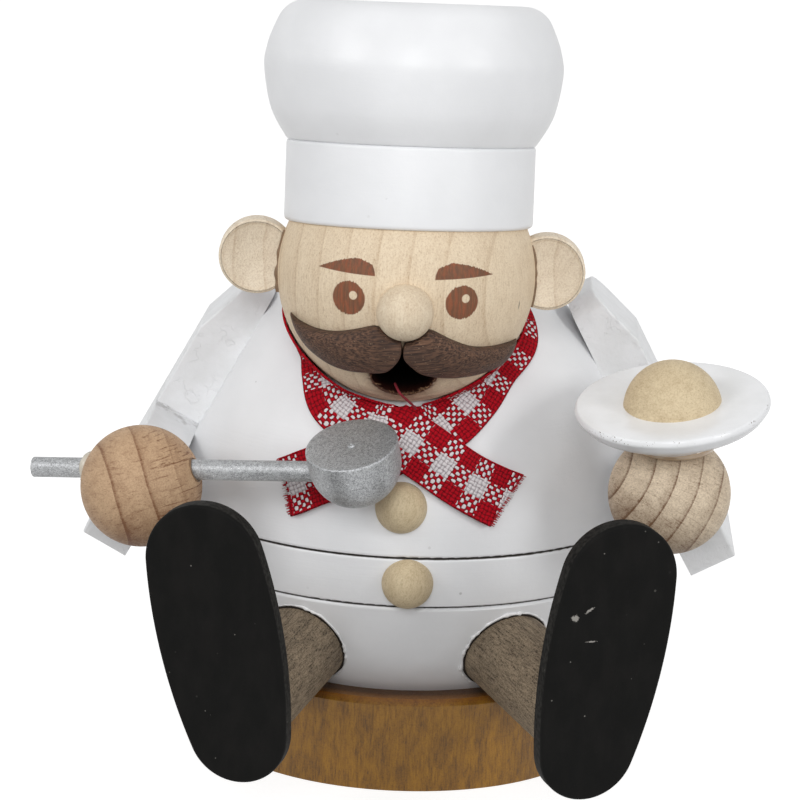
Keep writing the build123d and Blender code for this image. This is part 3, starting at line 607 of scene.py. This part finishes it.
dress(wood("dowel wood", (0, 0, 0), (0, 1, 0), (1, 0, 0), BEECH, BEECH_DARK, (9, 9), 3.0),
      "hat_dowel", "arm_dowels", "wrist_dowels", "shoe_dowels")
print("bare and stained wood done")

# %% [markdown]
# ## The printed face
# Eyes and brows are printed on the ball, so they are drawn in the ball's own map: u is
# the distance round from the middle of the face and v the distance up, both in mm. The
# print is thin. Fibres show through it, and its upper edges bled along the grain. Smoke
# has browned the rim of the mouth, which is a drilled hole. The pith lies far to one
# side, so the rings cross the face as nearly straight lines.

# %% Head
EYES = ((-11.5, -0.5, -10.5, 0.2), (11.4, -0.65, 12.15, 0.2))
EYE_SIZE, DOT_SIZE = (3.5, 3.35), 0.85
BROWS = ((-1, 6.2, 4.3), (1, 5.7, 4.0))
BROW_LENGTH, BROW_HEIGHT = 13.2, 3.6
MOUTH_DROP, MOUTH_BACK, MOUTH_DIP = 16.0, 20.24, np.radians(12)

f = Finish("printed head", HEAD)
colour, _, streak, pores = wood_colour(f, MAPLE, MAPLE_DARK, (-300, 90), 6.2, line=0.25, fibre=0.18,
                                       pore=0.3, grit=0.24, wave=0.12, patch=0.08)
u = f.x.math("ARCTAN2", f.y * -1.0) * HEAD_RADIUS
v = ((f.z / HEAD_RADIUS).math("MINIMUM", 1.0) | -1.0).math("ARCSINE") * HEAD_RADIUS
bleed = f.noise((0.28, 0.28, 4.0), 2).up(0.4, 0.7)
shapes = []
for u0, v0, u_dot, v_dot in EYES:
    over = f.length((u - u0) / EYE_SIZE[0], (v - v0 - bleed * 0.25) / EYE_SIZE[1], 0.0)
    dot = f.length(u - u_dot, v - v_dot, 0.0)
    shapes.append(over.up(1.03, 0.97) * dot.up(DOT_SIZE - 0.1, DOT_SIZE + 0.1))
for side, start, low in BROWS:
    s = (u * side - start) / BROW_LENGTH
    bottom = s * s * 0.35 + low
    height = (1.0 - s * s) * (s.up(0.0, 0.35) * 0.38 + 0.62) * BROW_HEIGHT
    inside = (v - bottom).up(0.0, 0.15) * (bottom + height + bleed * 0.2 - v).up(0.0, 0.15)
    blunt = s - (v - bottom) * (v - bottom) * 0.011
    shapes.append(inside * blunt.up(-0.005, 0.01) * s.up(1.0, 0.99))
printed = sum(shapes).math("MINIMUM", 1.0)
front = f.y.up(0.0, -2.0)
thin = ((streak + pores) * 0.5).math("MINIMUM", 1.0)
ink = f.blend(thin, seen(94, 52, 28), seen(142, 92, 60))
ink = f.blend(f.noise((0.6, 0.6, 3.0), 2).up(0.4, 0.7) * 0.5, ink, seen(158, 74, 38))
colour = f.blend(printed * front * 0.95, colour, ink)
notch = f.length(u - 27.5, (v + 3.0) / 4.0, 0.0).up(0.3, 0.12)
colour = f.blend(notch * front * 0.7, colour, seen(70, 48, 34))

up = (f.z + MOUTH_DROP) * np.cos(MOUTH_DIP) - (f.y + MOUTH_BACK) * np.sin(MOUTH_DIP)
smoke = f.length(f.x, up, 0.0) + f.noise(0.8, 4, 0.7) * 2.2 - 1.1
colour = f.blend(smoke.up(9.4, 6.3) * front * 0.5, colour, seen(128, 84, 54))
colour = f.blend(smoke.up(7.3, 6.6) * front * 0.8, colour, seen(70, 36, 22))
# Darker in blotches towards the bottom of the chin, by the scarf: painted shade between chin and
# ribbon.
chin_shade = f.z.up(-18.5, -23.5) * f.noise((5.0, 2.5, 1.0), 3).up(0.35, 0.65)
colour = f.blend(chin_shade * front * 0.5, colour, seen(112, 78, 56))
deep = HEAD_RADIUS - f.length(f.x, f.y, f.z)
# Inside the drilled mouth the wood turns dark red-brown just past the lip and near black deeper in:
# painted shade in the hole.
colour = f.blend(deep.up(0.08, 0.6), colour, seen(60, 26, 18))
colour = f.blend(deep.up(0.8, 3.8), colour, seen(14, 7, 5))
f.bump(streak + pores, 0.03)
f.bump(smoke.up(7.4, 6.6), 0.1)
dress(f.done(colour, streak * 0.1 + 0.52, Specular_IOR_Level=0.3), "head")
print("printed the face")

# %% [markdown]
# ## Torn wood and a thread at the mouth
# The drill tore the lip of the hole. Short splinters stand along its edge, most of them
# below, and one dark red thread of the scarf has caught there. Each is a strand.

# %% Splinters and thread
MOUTH = HEAD + (0, -MOUTH_BACK, -MOUTH_DROP)
MOUTH_IN = np.array((0, np.cos(MOUTH_DIP), np.sin(MOUTH_DIP)))
MOUTH_UP = np.array((0, -np.sin(MOUTH_DIP), np.cos(MOUTH_DIP)))


def on_lip(angle, radius, proud):
    """Points where a cylinder about the mouth's axis meets the head ball, raised by proud mm."""
    radius = np.asarray(radius, float).reshape(-1, 1)
    foot = MOUTH - HEAD + radius * circle(angle, (1, 0, 0), MOUTH_UP)
    return HEAD + onto_ball(foot, MOUTH_IN, HEAD_RADIUS + proud, -1)


MOUTH_RADIUS = 6.5
TORN = mottled("torn fibres", 0.6, (168, 130, 94), (92, 58, 38), 0.8)
splinters = []
for angle in np.concatenate((CHANCE.uniform(-2.7, -0.3, 34), CHANCE.uniform(0, 6.28, 20))):
    root = on_lip(np.array((angle,)), MOUTH_RADIUS + 0.05, 0.0)[0]
    inner = np.array((angle + CHANCE.normal(0, 0.12),))
    inner = on_lip(inner, MOUTH_RADIUS - CHANCE.uniform(0.3, 1.3), 0.05)[0]
    lean = np.array((CHANCE.normal(0, 0.15), -CHANCE.uniform(0.0, 0.5), CHANCE.normal(0, 0.15)))
    line = through((root, (root + inner) / 2 + lean, inner + lean), 6)
    splinters.append(skin(strand(line, np.linspace(0.11, 0.02, 6), 5)))
piece("mouth_splinters", *together(splinters), TORN, slot="maple")

BURNT = mottled("burnt lip", 0.7, (40, 22, 14), (96, 56, 36), 0.85)
fuzz = uneven(200, 4)
rim = on_lip(full_turn(200), MOUTH_RADIUS + 0.1 * fuzz, 0.0)
piece("burnt_lip", *hoop(rim, 0.1 + 0.24 * fuzz), BURNT, slot="maple")

RED_THREAD = mottled("dark red thread", 0.5, (104, 16, 28), (152, 34, 50), 0.85)
snag = through(HEAD + ((-1.5, -16.0, -18.9), (-0.5, -18.0, -20.3), (0.7, -16.2, -21.9),
                       (2.0, -13.8, -23.6), (2.8, -11.4, -25.1)), 40)
piece("caught_thread", *skin(strand(snag, np.full(40, 0.26))), RED_THREAD, slot="gingham")

# %% [markdown]
# ## Hat
# Band and puffed crown are one turning. Its profile runs up the band, dips into the crease
# and swells out again, and carried round the head's axis it gives the whole hat.

# %% Hat
HAT_STAND, HAT_TOP = 10.0, 43.8
hat_low = eased(((0.05, 0.0), (24.9, 0.0), (24.9, 15.9), (24.35, 16.2)), (1.0, 0.35), steps=8)
crown = through(
    ((24.35, 16.25), (25.3, 16.9), (28.3, 22.4), (29.8, 30.2), (29.35, 34.6), (28.0, 38.6),
     (26.1, 42.0), (22.9, 43.75), (18.0, HAT_TOP)), 60,
)
profile = np.vstack((hat_low[:-1], crown, ((0.05, HAT_TOP),)))
piece("cook_hat", *skin(turned(profile, HEAD + HAT_AXIS * HAT_STAND, HAT_AXIS, 180)), HAT_PAINT,
      stands_for=("hat",), slot="white_paint")

# %% [markdown]
# ## Ears
# Each ear is a disc turned with a rolled rim and a shallow dish. A thin broken dark bead
# runs where it meets the head.

# %% Ears
DISH_RADIUS = 6.3
dish = np.linspace(DISH_RADIUS, 0.05, 14)
ear_profile = np.vstack((
    eased(((0.05, -2.5), (7.6, -2.5), (7.6, 2.5), (6.9, 2.5), (6.5, 2.05)), (0.7, 0.6, 0.25)),
    np.column_stack((dish, 0.85 + 1.15 * (dish / DISH_RADIUS) ** 2)),
))
DARK_BEAD = mottled("dark bead", 0.9, (92, 68, 48), (150, 122, 92), 0.45, relief=(0.8, 3, 0.1))
EAR_COLOUR, BEAD_FRONT = seen(247, 234, 212), 1.1
for side, sign, aside, rise in (("left", -1, -30.1, 2.5), ("right", 1, 28.2, 1.2)):
    middle = HEAD + (aside, 1.5, rise)
    finish = wood("maple ear " + side, middle, (0.25, -0.8, 1), (1, 0, 0), EAR_COLOUR, PALE_DARK,
                  (65, 12), 6.0, 0.45, line=0.2, fibre=0.2, pore=0.25, grit=0.2, patch=0.1)
    piece("dished_ear_" + side, *skin(turned(ear_profile, middle, (0, -1, 0))), finish,
          stands_for=("ear_" + side,), slot="maple")
    climb = np.linspace(-0.27, 0.22, 60) + rise / HEAD_RADIUS
    flat = np.sqrt((HEAD_RADIUS + 0.05) ** 2 - BEAD_FRONT**2)
    line = HEAD + flat * circle(climb, (sign, 0, 0), (0, 0, 1)) - (0, BEAD_FRONT, 0)
    bead = 0.12 + (0.62 if side == "left" else 0.34) * uneven(60, 5, False)
    piece("ear_dark_line_" + side, *skin(strand(line, bead)), DARK_BEAD, slot="dark_stain")

# %% [markdown]
# ## Moustache
# Each half was sawn, sanded round and stained. Its outline is two lines, along the top and
# along the bottom, from the blunt inner end to the tip. Between them the cross-section is a
# pillow: flat in the middle and rounded at the edges. All is bent on to the head's ball.

# %% Moustache
f = Finish("dark stained hair", HEAD, (1, 0, 0.1), (0, 0, 1))
hairs = f.noise((0.3, 0.3, 8.0), 4, 0.65).up(0.35, 0.7)
patch = f.noise((2.0, 2.0, 9.0), 2).up(0.3, 0.7)
colour = f.blend(hairs, seen(44, 29, 22), seen(134, 99, 78))
colour = f.blend(patch * 0.45, colour, seen(44, 30, 24))
colour = f.blend(f.specks(0.36, 0.09) * 0.6, colour, seen(176, 148, 122))
f.bump(hairs, 0.09)
HAIR_FINISH = f.done(colour, 0.55, Specular_IOR_Level=0.3)

MOUSTACHE = {
    "left": (
        -1, ((0.3, -9.8), (0.7, -8.2), (2.3, -7.4), (4.2, -6.0), (5.9, -5.4), (9.4, -6.5),
         (13.2, -7.6), (17.0, -7.9), (20.6, -7.3), (22.8, -6.3)),
        ((0.3, -9.8), (0.8, -12.2), (2.5, -14.7), (4.2, -15.7), (7.5, -16.0), (11.1, -16.1),
         (14.9, -15.2), (18.8, -12.8), (21.4, -9.6), (22.8, -6.3)),
    ),
    "right": (
        1, ((-0.2, -10.3), (0.2, -8.7), (1.8, -7.9), (3.9, -6.3), (5.2, -5.8), (9.2, -8.0),
         (13.0, -9.8), (16.8, -10.5), (20.6, -10.7), (22.5, -10.9)),
        ((-0.2, -10.3), (0.2, -12.2), (1.6, -13.9), (3.9, -15.7), (8.0, -16.7), (11.8, -16.9),
         (15.6, -16.6), (19.0, -15.8), (21.4, -13.7), (22.5, -10.9)),
    ),
}
HAIR_THICK, HAIR_STEPS = 3.0, 90
for side, (sign, top, bottom) in MOUSTACHE.items():
    top, bottom = through(top, HAIR_STEPS)[:, None], through(bottom, HAIR_STEPS)[:, None]
    turn = full_turn(56)
    share = (1 - np.cos(turn[:, None])) / 2
    flat = (1 - share) * top + share * bottom
    along = np.linspace(0, 1, HAIR_STEPS)[:, None]
    full = np.clip(along / 0.1, 0, 1) * np.clip((1 - along) / 0.22, 0, 1)
    full = np.sqrt(1 - (1 - full) ** 2)
    pillow = np.where(turn < np.pi, np.abs(np.sin(turn)) ** 0.55, 0.0)
    height = HEAD_RADIUS + 0.05 + HAIR_THICK * full * pillow
    x, z = flat[..., 0] * sign, flat[..., 1]
    y = -np.sqrt(height**2 - x**2 - z**2)
    rows = np.stack((x, y, z), axis=-1)[1:-1] + HEAD
    piece("moustache_half_" + side, *skin(rows), HAIR_FINISH,
          stands_for=("moustache_" + side,), slot="dark_stain")

# %% [markdown]
# ## Silver ladle
# The bowl is one turning: half a ball under a short collar, flat on top with the small
# stub that the lathe's centre left. The silver paint carries metal flakes, which
# catch the light one by one, so each flake is a cell with a brightness of its own.

# %% Ladle
f = Finish("silver paint")
_, flake = f.cells(0.15)
flake = flake * 0.55 + f.noise(0.7, 3) * 0.6
colour = f.blend(flake.up(0.1, 1.0), seen(118, 119, 120), seen(196, 198, 200))
# Rare near-white specks: painted glints of single flakes.
colour = f.blend(f.specks(0.3, 0.04), colour, seen(240, 240, 240))
f.bump(flake, 0.012)
SILVER = f.done(colour, flake * 0.2 + 0.36, Metallic=0.55)

LADLE = np.array((-11.0, -58.5, 74.0))
LADLE_UP = (-np.tan(np.radians(12.1)), -np.tan(np.radians(18.5)), 1.0)
CUP_RADIUS = 9.2
swing = np.radians(np.linspace(-89.8, 0, 40))
ladle_profile = np.vstack((
    CUP_RADIUS * circle(swing, (1, 0), (0, 1)),
    eased(((CUP_RADIUS, 0.3), (CUP_RADIUS, 4.0), (1.0, 3.75), (0.75, 3.75), (0.6, 4.05),
           (0.3, 4.05), (0.12, 3.7)), (0.45, 0.05, 0.05, 0.06, 0.05)),
))
piece("ladle_cup", *skin(turned(ladle_profile, LADLE, LADLE_UP)), SILVER,
      stands_for=("ladle_bowl",), slot="silver_paint")
dress(SILVER, "ladle_handle")

# %% [markdown]
# ## Plate
# A turned plate with a soft thick rim and a shallow well. Its edge has been knocked, so
# the paint there is off in a row of small specks.

# %% Plate
f = Finish("plate paint", PLATE_SEAT, PLATE_UP, (1, 0, 0))
rim = f.length(f.x, f.y, 0.0)
edge = rim.up(18.6, 18.9) * f.z.up(8.5, 8.2) * f.z.up(7.2, 7.5)
worn = f.noise((0.5, 0.5, 0.35), 3, 0.7).up(0.6, 0.64) * f.noise(5.0).up(0.46, 0.56)
colour = f.blend(f.noise(9.0).up(0.3, 0.7), seen(234, 235, 236), seen(242, 243, 245))
colour = f.blend(edge * worn, colour, seen(110, 98, 86))
f.bump(f.noise(1.2, 2), 0.02)
PLATE_PAINT = f.done(colour, 0.26)
plate_profile = eased(
    ((0.05, 0), (8.0, 0), (17.8, 5.0), (19.4, 7.3), (19.0, 8.4), (16.0, 8.5), (12.0, 8.15),
     (0.05, 8.15)), (0.5, 1.2, 0.5, 0.4, 1.8, 1.8),
)
piece("serving_plate", *skin(turned(plate_profile, PLATE_SEAT, PLATE_UP, 180)), PLATE_PAINT,
      stands_for=("plate",), slot="white_paint")

# %% [markdown]
# ## Glue under the plate and at the handle
# Clear brown glue has run out under the plate's foot, and less of it, pale or dark, at
# both ends of the handle's bore. Each bead swells and thins on its way round.

# %% Glue
GLUE = mottled("clear brown glue", 2.0, (176, 148, 118), (204, 180, 150), 0.14,
               relief=(2.0, 2, 0.1), Coat_Weight=0.6)
swell = uneven(180, 22)
foot = (7.0 + 0.7 * swell)[:, None] * circle(full_turn(180), *square_to(PLATE_UP))
line = PLATE_SEAT + foot - PLATE_UP * 0.35
piece("plate_glue", *hoop(line, 0.7 + 0.55 * swell, 12), GLUE, slot="maple")

HANDLE_WAY = unit((0.9454, -0.3097, 0.1018))
HANDLE_POINT = np.array((-53.70, -44.51, 67.20))
HANDLE_RADIUS, HAND_RADIUS = 2.3, 12.25
PALE_GLUE = mottled("pale glue", 1.0, (196, 186, 168), (226, 220, 206), 0.25)
ring = HANDLE_POINT - HAND_LEFT + HANDLE_RADIUS * circle(full_turn(60), *square_to(HANDLE_WAY))
for end, sign, finish in (("left", -1, PALE_GLUE), ("right", 1, DARK_BEAD)):
    line = HAND_LEFT + onto_ball(ring, HANDLE_WAY, HAND_RADIUS, sign)
    bead = 0.5 + 0.8 * uneven(60, 9) if end == "left" else 0.1 + 0.16 * uneven(60, 6)
    piece("handle_glue_" + end, *hoop(line, bead, 9), finish, slot="maple")

# %% [markdown]
# ## Shoes
# A shoe is an egg-shaped board: a small arc for the heel, a larger one for the toe and two
# long bowed sides. The faces are rounded over. The black paint is matt and dusty, with painted
# light as lighter grey patches on its sides; the shoe on the right has two scuffs and a scratch.

# %% Shoes
TOE, HEEL, BETWEEN, SIDE, SHOE_THICK = 11.6, 10.0, 34.9, 110.0, 4.0


def egg(count=70):
    """The outline, four arcs end to end. The side arc's middle lies where its distance to the
    heel's middle is SIDE less HEEL, and to the toe's middle SIDE less TOE, so all arcs touch."""
    level = ((SIDE - HEEL) ** 2 - (SIDE - TOE) ** 2 + BETWEEN**2) / (2 * BETWEEN)
    bow = np.sqrt((SIDE - HEEL) ** 2 - level**2)
    low, high = np.arcsin(level / (SIDE - HEEL)), np.arcsin((BETWEEN - level) / (SIDE - TOE))
    arcs = (
        ((-bow, level), SIDE, -low, high),
        ((0, BETWEEN), TOE, high, np.pi - high),
        ((bow, level), SIDE, np.pi - high, np.pi + low),
        ((0, 0), HEEL, np.pi + low, 2 * np.pi - low),
    )
    parts = []
    for middle, radius, start, stop in arcs:
        angle = np.linspace(start, stop, count, endpoint=False)
        parts.append(middle + radius * circle(angle, (1, 0), (0, 1)))
    return np.vstack(parts)


def shoe_rows(side, lean, inward, drop):
    """Rings of the board: the egg at growing depth, drawn in at both faces by the round-over."""
    origin, way = LEGS[side]
    end = origin + way * LEG_REACH
    across = unit(np.cross((0, 0, 1), way))
    upward = np.cross(way, across)
    c, s = np.cos(lean), np.sin(lean)
    outline = egg() @ np.array(((c, -s), (s, c))) + (inward, -drop)
    centre = outline.mean(axis=0)
    corner, ease = np.linspace(0, np.pi / 2, 7), 0.7
    near, far = ease * (1 - np.sin(corner)), ease * (1 - np.cos(corner))
    drawn = np.concatenate(((9.0, 5.0, 2.0), near, far, (2.0, 5.0, 9.0)))
    depth = np.concatenate(((0, 0, 0), far, SHOE_THICK - near, (SHOE_THICK,) * 3))
    scale = 1 - drawn[:, None] / np.linalg.norm(outline - centre, axis=1)
    flat = centre + (outline - centre) * scale[..., None]
    return end + flat[..., :1] * across + flat[..., 1:] * upward + depth[:, None, None] * way


SCUFFS = {
    "left": (),
    "right": (((32.4, 51.6), (0.8, 0.8), 0.3), ((35.1, 53.0), (1.1, 0.3), 0.6),
              ((35.8, 46.6), (1.05, 0.16), 0.0)),
}
DUST = seen(170, 166, 160)
for side, sign, lean, drop in (("left", -1, 11.9, 1.7), ("right", 1, 7.4, 3.2)):
    f = Finish("black paint of the shoe " + side)
    colour = f.blend(f.noise((4.0, 4.0, 9.0), 3).up(0.35, 0.75), seen(11, 11, 10), seen(19, 18, 17))
    origin, way = LEGS[side]
    depth = f.x * way[0] + f.y * way[1] + f.z * way[2] - (origin @ way + LEG_REACH)
    # All but the front face gets lighter grey patches: painted light on the shoe's sides.
    colour = f.blend(depth.up(3.7, 3.2) * f.noise(0.8, 3).up(0.3, 0.7), colour, seen(44, 43, 41))
    colour = f.blend((f.specks(0.55, 0.006) + f.specks(0.9, 0.003)) * 0.8, colour, DUST)
    for (x0, z0), (long, short), tilt in SCUFFS[side]:
        c, s = np.cos(tilt), np.sin(tilt)
        along = ((f.x - x0) * c + (f.z - z0) * s) / long
        over = ((f.z - z0) * c - (f.x - x0) * s) / short
        mark = f.length(along, over, 0.0) + f.noise(0.4, 3, 0.7) * 2.0 - 1.0
        colour = f.blend(mark.up(1.0, 0.7) * f.y.up(-80.0, -81.0) * 0.8, colour, DUST)
    f.bump(f.noise((1.2, 1.2, 2.5), 4, 0.65), 0.05)
    black = f.done(colour, f.noise(4.0, 2) * 0.15 + 0.6, Specular_IOR_Level=0.1)
    rows = shoe_rows(side, np.radians(sign * lean), -sign * 2.1, drop)
    piece("shoe_board_" + side, *skin(rows), black, "lower_body",
          stands_for=("shoe_" + side,), slot="black_paint")

# %% [markdown]
# ## Ribbon
# The scarf is one gingham ribbon. It starts at the tail on the left, passes the throat,
# runs round the neck in the groove between head and jacket, comes back over itself and
# ends in the tail on the right. Its middle line is given in degrees: how far round the
# neck from the front, and how far down from the neck's axis. What would pass under the
# head turns up along the head instead.

# %% Ribbon's weave
WIDTH, CHECK, THREAD = 11.8, 3.93, 0.82
MAP_SIZE = 100.0
f = Finish("gingham weave")
u, v, _ = (part * MAP_SIZE for part in f.parts(f.add("UVMap", {}, uv_map="ribbon")[0]))
u = u + (f.noise(1.3) - 0.5) * 0.7
v = v + (f.noise(1.1) - 0.5) * 0.7
aside = (u - WIDTH / 2).math("ABSOLUTE")
warp_red = aside.math("GREATER_THAN", CHECK / 2)
selvedge = aside.math("GREATER_THAN", WIDTH / 2 - 0.4)
weft_red = (v / (2 * CHECK)).math("FRACT").math("GREATER_THAN", 0.5) | selvedge
u, v = u / THREAD, v / THREAD
column, row = u.math("FLOOR"), v.math("FLOOR")
warp_over = ((column + row) / 2.0).math("FRACT").math("GREATER_THAN", 0.25)
in_u, in_v = (way.math("FRACT") * 2.0 - 1.0 for way in (u, v))
in_u, in_v = in_u * in_u, in_v * in_v
weft_over = 1.0 - warp_over
red = warp_over * warp_red + weft_over * weft_red
body = 1.0 - warp_over * (in_u * 1.5 + in_v * 0.4) - weft_over * (in_v * 1.5 + in_u * 0.4)
body = body + f.noise(0.25, 3, 0.75) * 0.9
# The colours in the dips between threads are a shaded copy, and those on the threads' crowns a lit
# copy: painted shade and light.
deep = f.blend(warp_red | weft_red, seen(208, 196, 200), seen(134, 4, 22))
lit = f.blend(red, seen(240, 234, 236), seen(186, 8, 30))
f.bump(body, 0.22)
GINGHAM = f.done(f.blend(body.up(0.3, 0.9), deep, lit), 0.9, Specular_IOR_Level=0.2)
print("gingham of", CHECK, "mm checks and", THREAD, "mm threads")

# %% Ribbon's shape
ASIDE = unit((1, 0, 0) - NECK_AXIS * NECK_AXIS[0])
FORWARD = np.cross(ASIDE, NECK_AXIS)
ROUTE = np.array((
    # round, down, lift
    (-37.7, 50.2, 0.0), (-26.0, 42.6, 0.1), (-1.1, 32.6, 0.1), (16.3, 29.9, 0.1),
    (37.6, 25.6, 0.1), (61.4, 22.8, 0.1), (92.7, 24.9, 0.3), (125, 24.4, 0.5),
    (160, 21.0, 0.2), (200, 20.5, 0.1), (240, 20.5, 0.1), (267, 20.8, 0.1),
    (291, 19.8, 0.1), (308, 22.5, 0.2), (324, 27.0, 0.5), (344, 29.4, 0.9),
    (354.8, 30.4, 0.9), (369.3, 35.8, 0.8), (383.6, 44.9, 0.4), (393.2, 51.7, 0.3),
))
GROOVE_RADIUS = 19.57
FOLD = np.degrees(np.arcsin(GROOVE_RADIUS / BALL_RADIUS)) + 1.2
LOOP_RADIUS = BALL_RADIUS + 0.6
MIDDLE_OF_CLOTH = CLOTH_GAP + 0.25
CUT_ASLANT, STRIPS = 2.8, 41


def on_jacket(route):
    """Unit vectors from the jacket's middle for degrees round and down."""
    around, down = np.radians(route[:, 0]), np.radians(route[:, 1])
    return circle(down, NECK_AXIS, circle(around, FORWARD, ASIDE))


line = through(ROUTE, 1200)
ways = on_jacket(line)
steps = np.linalg.norm(np.diff(ways, axis=0), axis=1)
run = np.concatenate(((0,), np.cumsum(steps))) * LOOP_RADIUS
length = float(run[-1])
even = np.linspace(0, length, int(length / 0.45))
t = np.linspace(-WIDTH / 2, WIDTH / 2, STRIPS)
strip = even[:, None] * (1 - CUT_ASLANT / length * (0.5 - t / WIDTH))


def on_strips(values):
    """Values along the middle line, read at each strip's own steps."""
    return np.stack([np.interp(strip, run, part) for part in values.T], axis=-1)


travel = on_strips(np.gradient(ways, run, axis=0))
ways = on_strips(ways)
across = unit(np.cross(ways, travel))
spread = circle(t / LOOP_RADIUS, ways, across)
down = np.degrees(np.arccos(np.clip(spread @ NECK_AXIS, -1, 1)))
flat = unit(spread - (spread @ NECK_AXIS)[..., None] * NECK_AXIS)
lift = np.interp(strip, run, line[:, 2])
to_edge = np.clip(np.abs(t) / WIDTH * 2, 0, 1)
ripple = 0.22 * np.sin(even / 4.1)[:, None] * to_edge**2 + 0.22
to_end = np.minimum(even, length - even)[:, None]
curl = 0.7 * np.exp(-((to_end / 7.0) ** 2)) * to_edge**3
height = BALL_RADIUS + MIDDLE_OF_CLOTH + lift + ripple + curl
low = np.radians(np.maximum(down, FOLD))
radial, axial = height * np.sin(low), height * np.cos(low)
up = np.radians(np.maximum(FOLD - down, 0)) * BALL_RADIUS / HEAD_RADIUS
start = np.arcsin(GROOVE_RADIUS / HEAD_RADIUS) + np.radians(2.4)
shell = HEAD_RADIUS + MIDDLE_OF_CLOTH + lift * 0.5 + ripple
folded = down < FOLD
radial = np.where(folded, shell * np.sin(start + up), radial)
axial = np.where(folded, NECK_LENGTH - shell * np.cos(start + up), axial)
kernel = np.hanning(9)[1:-1]
kernel /= kernel.sum()


def smooth_across(values):
    """Rounds the fold: each value becomes a weighted mean of its neighbours across the ribbon."""
    wide = np.pad(values, ((0, 0), (3, 3)), mode="reflect", reflect_type="odd")
    return sum(wide[:, i:i + values.shape[1]] * share for i, share in enumerate(kernel))


radial, axial = smooth_across(radial), smooth_across(axial)
ribbon = BALL + radial[..., None] * flat + axial[..., None] * NECK_AXIS
points, faces = skin(ribbon, closed=False, ends="open")
scarf = piece("gingham_scarf", points, faces, GINGHAM, stands_for=("scarf",), slot="gingham")
layer = scarf.data.uv_layers.new(name="ribbon")
corner = np.zeros(len(scarf.data.loops), int)
scarf.data.loops.foreach_get("vertex_index", corner)
grid = np.stack(np.broadcast_arrays(t + WIDTH / 2, strip), axis=-1)
last_white = (0.0, 52.5 * CHECK + 0.7 - length)
uv = (grid.reshape(-1, 2)[corner] + last_white) / MAP_SIZE
layer.data.foreach_set("uv", uv.ravel())
thick = scarf.modifiers.new("thickness", "SOLIDIFY")
thick.thickness, thick.offset = 0.45 * MM, 1.0

# %% [markdown]
# ## Fringe
# The ribbon was snipped, so its ends fray: single threads stand out past the last weft,
# each a little longer or shorter than the next and bent its own way.

# %% Fringe
threads = {"red": [], "white": []}
for row, nearer in ((0, 4), (-1, -5)):
    outward, over = unit(ribbon[row] - ribbon[nearer]), unit(ribbon[row] - BALL)
    for i in range(1, STRIPS - 1):
        reach = CHANCE.uniform(0.1, 0.7)
        bend = CHANCE.normal(0, 0.35, 3)
        root = ribbon[row, i] - outward[i] * 0.4 + over[i] * 0.2
        tip = root + outward[i] * (reach + 0.4) + bend * reach * 0.6 + over[i] * 0.1
        path = through((root, (root + tip) / 2 + bend * 0.2, tip), 6)
        name = "red" if abs(t[i]) > CHECK / 2 or CHANCE.random() < 0.3 else "white"
        threads[name].append(skin(strand(path, np.linspace(0.15, 0.07, 6), 5)))
for name, colour in (("red", (190, 18, 38)), ("white", (238, 230, 230))):
    fray = mottled("loose thread " + name, 0.4, [c * 0.7 for c in colour], colour, 0.9)
    piece("fringe_" + name, *together(threads[name]), fray, slot="gingham")

# %% [markdown]
# ## Hidden tin and nail
# The cone stands on a tin dish, which a nail holds to the wood. Both only show when the
# jacket is lifted. Heat marks and fine scratches keep the tin from looking new.

# %% Tin
f = Finish("tinplate", (0, 0, 28))
scratch = f.noise((6.0, 0.3, 1.0), 3)
heat = f.noise(4.0, 3).up(0.4, 0.7)
f.bump(scratch, 0.01)
colour = f.blend(heat, seen(170, 168, 162), seen(120, 108, 92))
TIN = f.done(colour, scratch * 0.3 + 0.25, Metallic=0.9)
dress(TIN, "incense_dish", "dish_nail")
print("dressed the tin")

# %% [markdown]
# ## Studio
# A pale floor under an even white sky, with one soft box above the camera and one on each
# side. What the camera sees of floor and sky is white, also in a shiny surface. The light
# that the object gets stays plain, and the floor still takes its shadow.

# %% Studio
world = bpy.data.worlds.new("studio")
bpy.context.scene.world = world
world.use_nodes = True
tree = world.node_tree
sky = tree.nodes["Background"]
sky.inputs["Color"].default_value = (1, 1, 1, 1)
SKY_LIGHT = 0.52


def seen_or_mirrored(tree):
    """1 for rays that look at the backdrop, also in a mirror or through glass, and 0 for others."""
    straight, _, _, mirrored, _, _, clear, *_ = add_node(tree, "LightPath", {})
    return straight | mirrored | clear


feed(sky.inputs["Strength"], seen_or_mirrored(tree) * (1.0 - SKY_LIGHT) + SKY_LIGHT)

f = Finish("pale floor")
FLOOR = f.done((0.4, 0.4, 0.4, 1), 0.9, Emission_Color=(1, 1, 1, 1),
               Emission_Strength=seen_or_mirrored(f.tree) * 0.8)
FLOOR_RADII, FLOOR_STEPS = np.array((1.0, 300.0, 1500.0, 6000.0)), 96
rings = FLOOR_RADII[:, None, None] * circle(full_turn(FLOOR_STEPS), (1, 0, 0), (0, 1, 0))
points, faces = skin(rings - (0, 0, 0.02), ends="open")
mesh = bpy.data.meshes.new("floor")
mesh.from_pydata((points * MM).tolist(), [], faces + [list(range(FLOOR_STEPS))])
mesh.materials.append(FLOOR)
floor = into_scene("floor", mesh)


def lamp(name, place, size, power):
    """A square soft box that points at the middle of the object."""
    data = bpy.data.lights.new(name, "AREA")
    data.size, data.energy = size, power
    light = into_scene(name, data)
    light.location = place
    light.rotation_mode = "QUATERNION"
    light.rotation_quaternion = (Vector((0, 0, 0.08)) - Vector(place)).to_track_quat("-Z", "Y")
    print(name, power, "W")


lamp("box above the camera", (-0.05, -1.15, 0.62), 0.42, 3.9)
lamp("box on the left", (-0.9, -0.68, 0.66), 0.42, 3.3)
lamp("box on the right", (0.9, -0.75, 0.52), 0.32, 3.2)
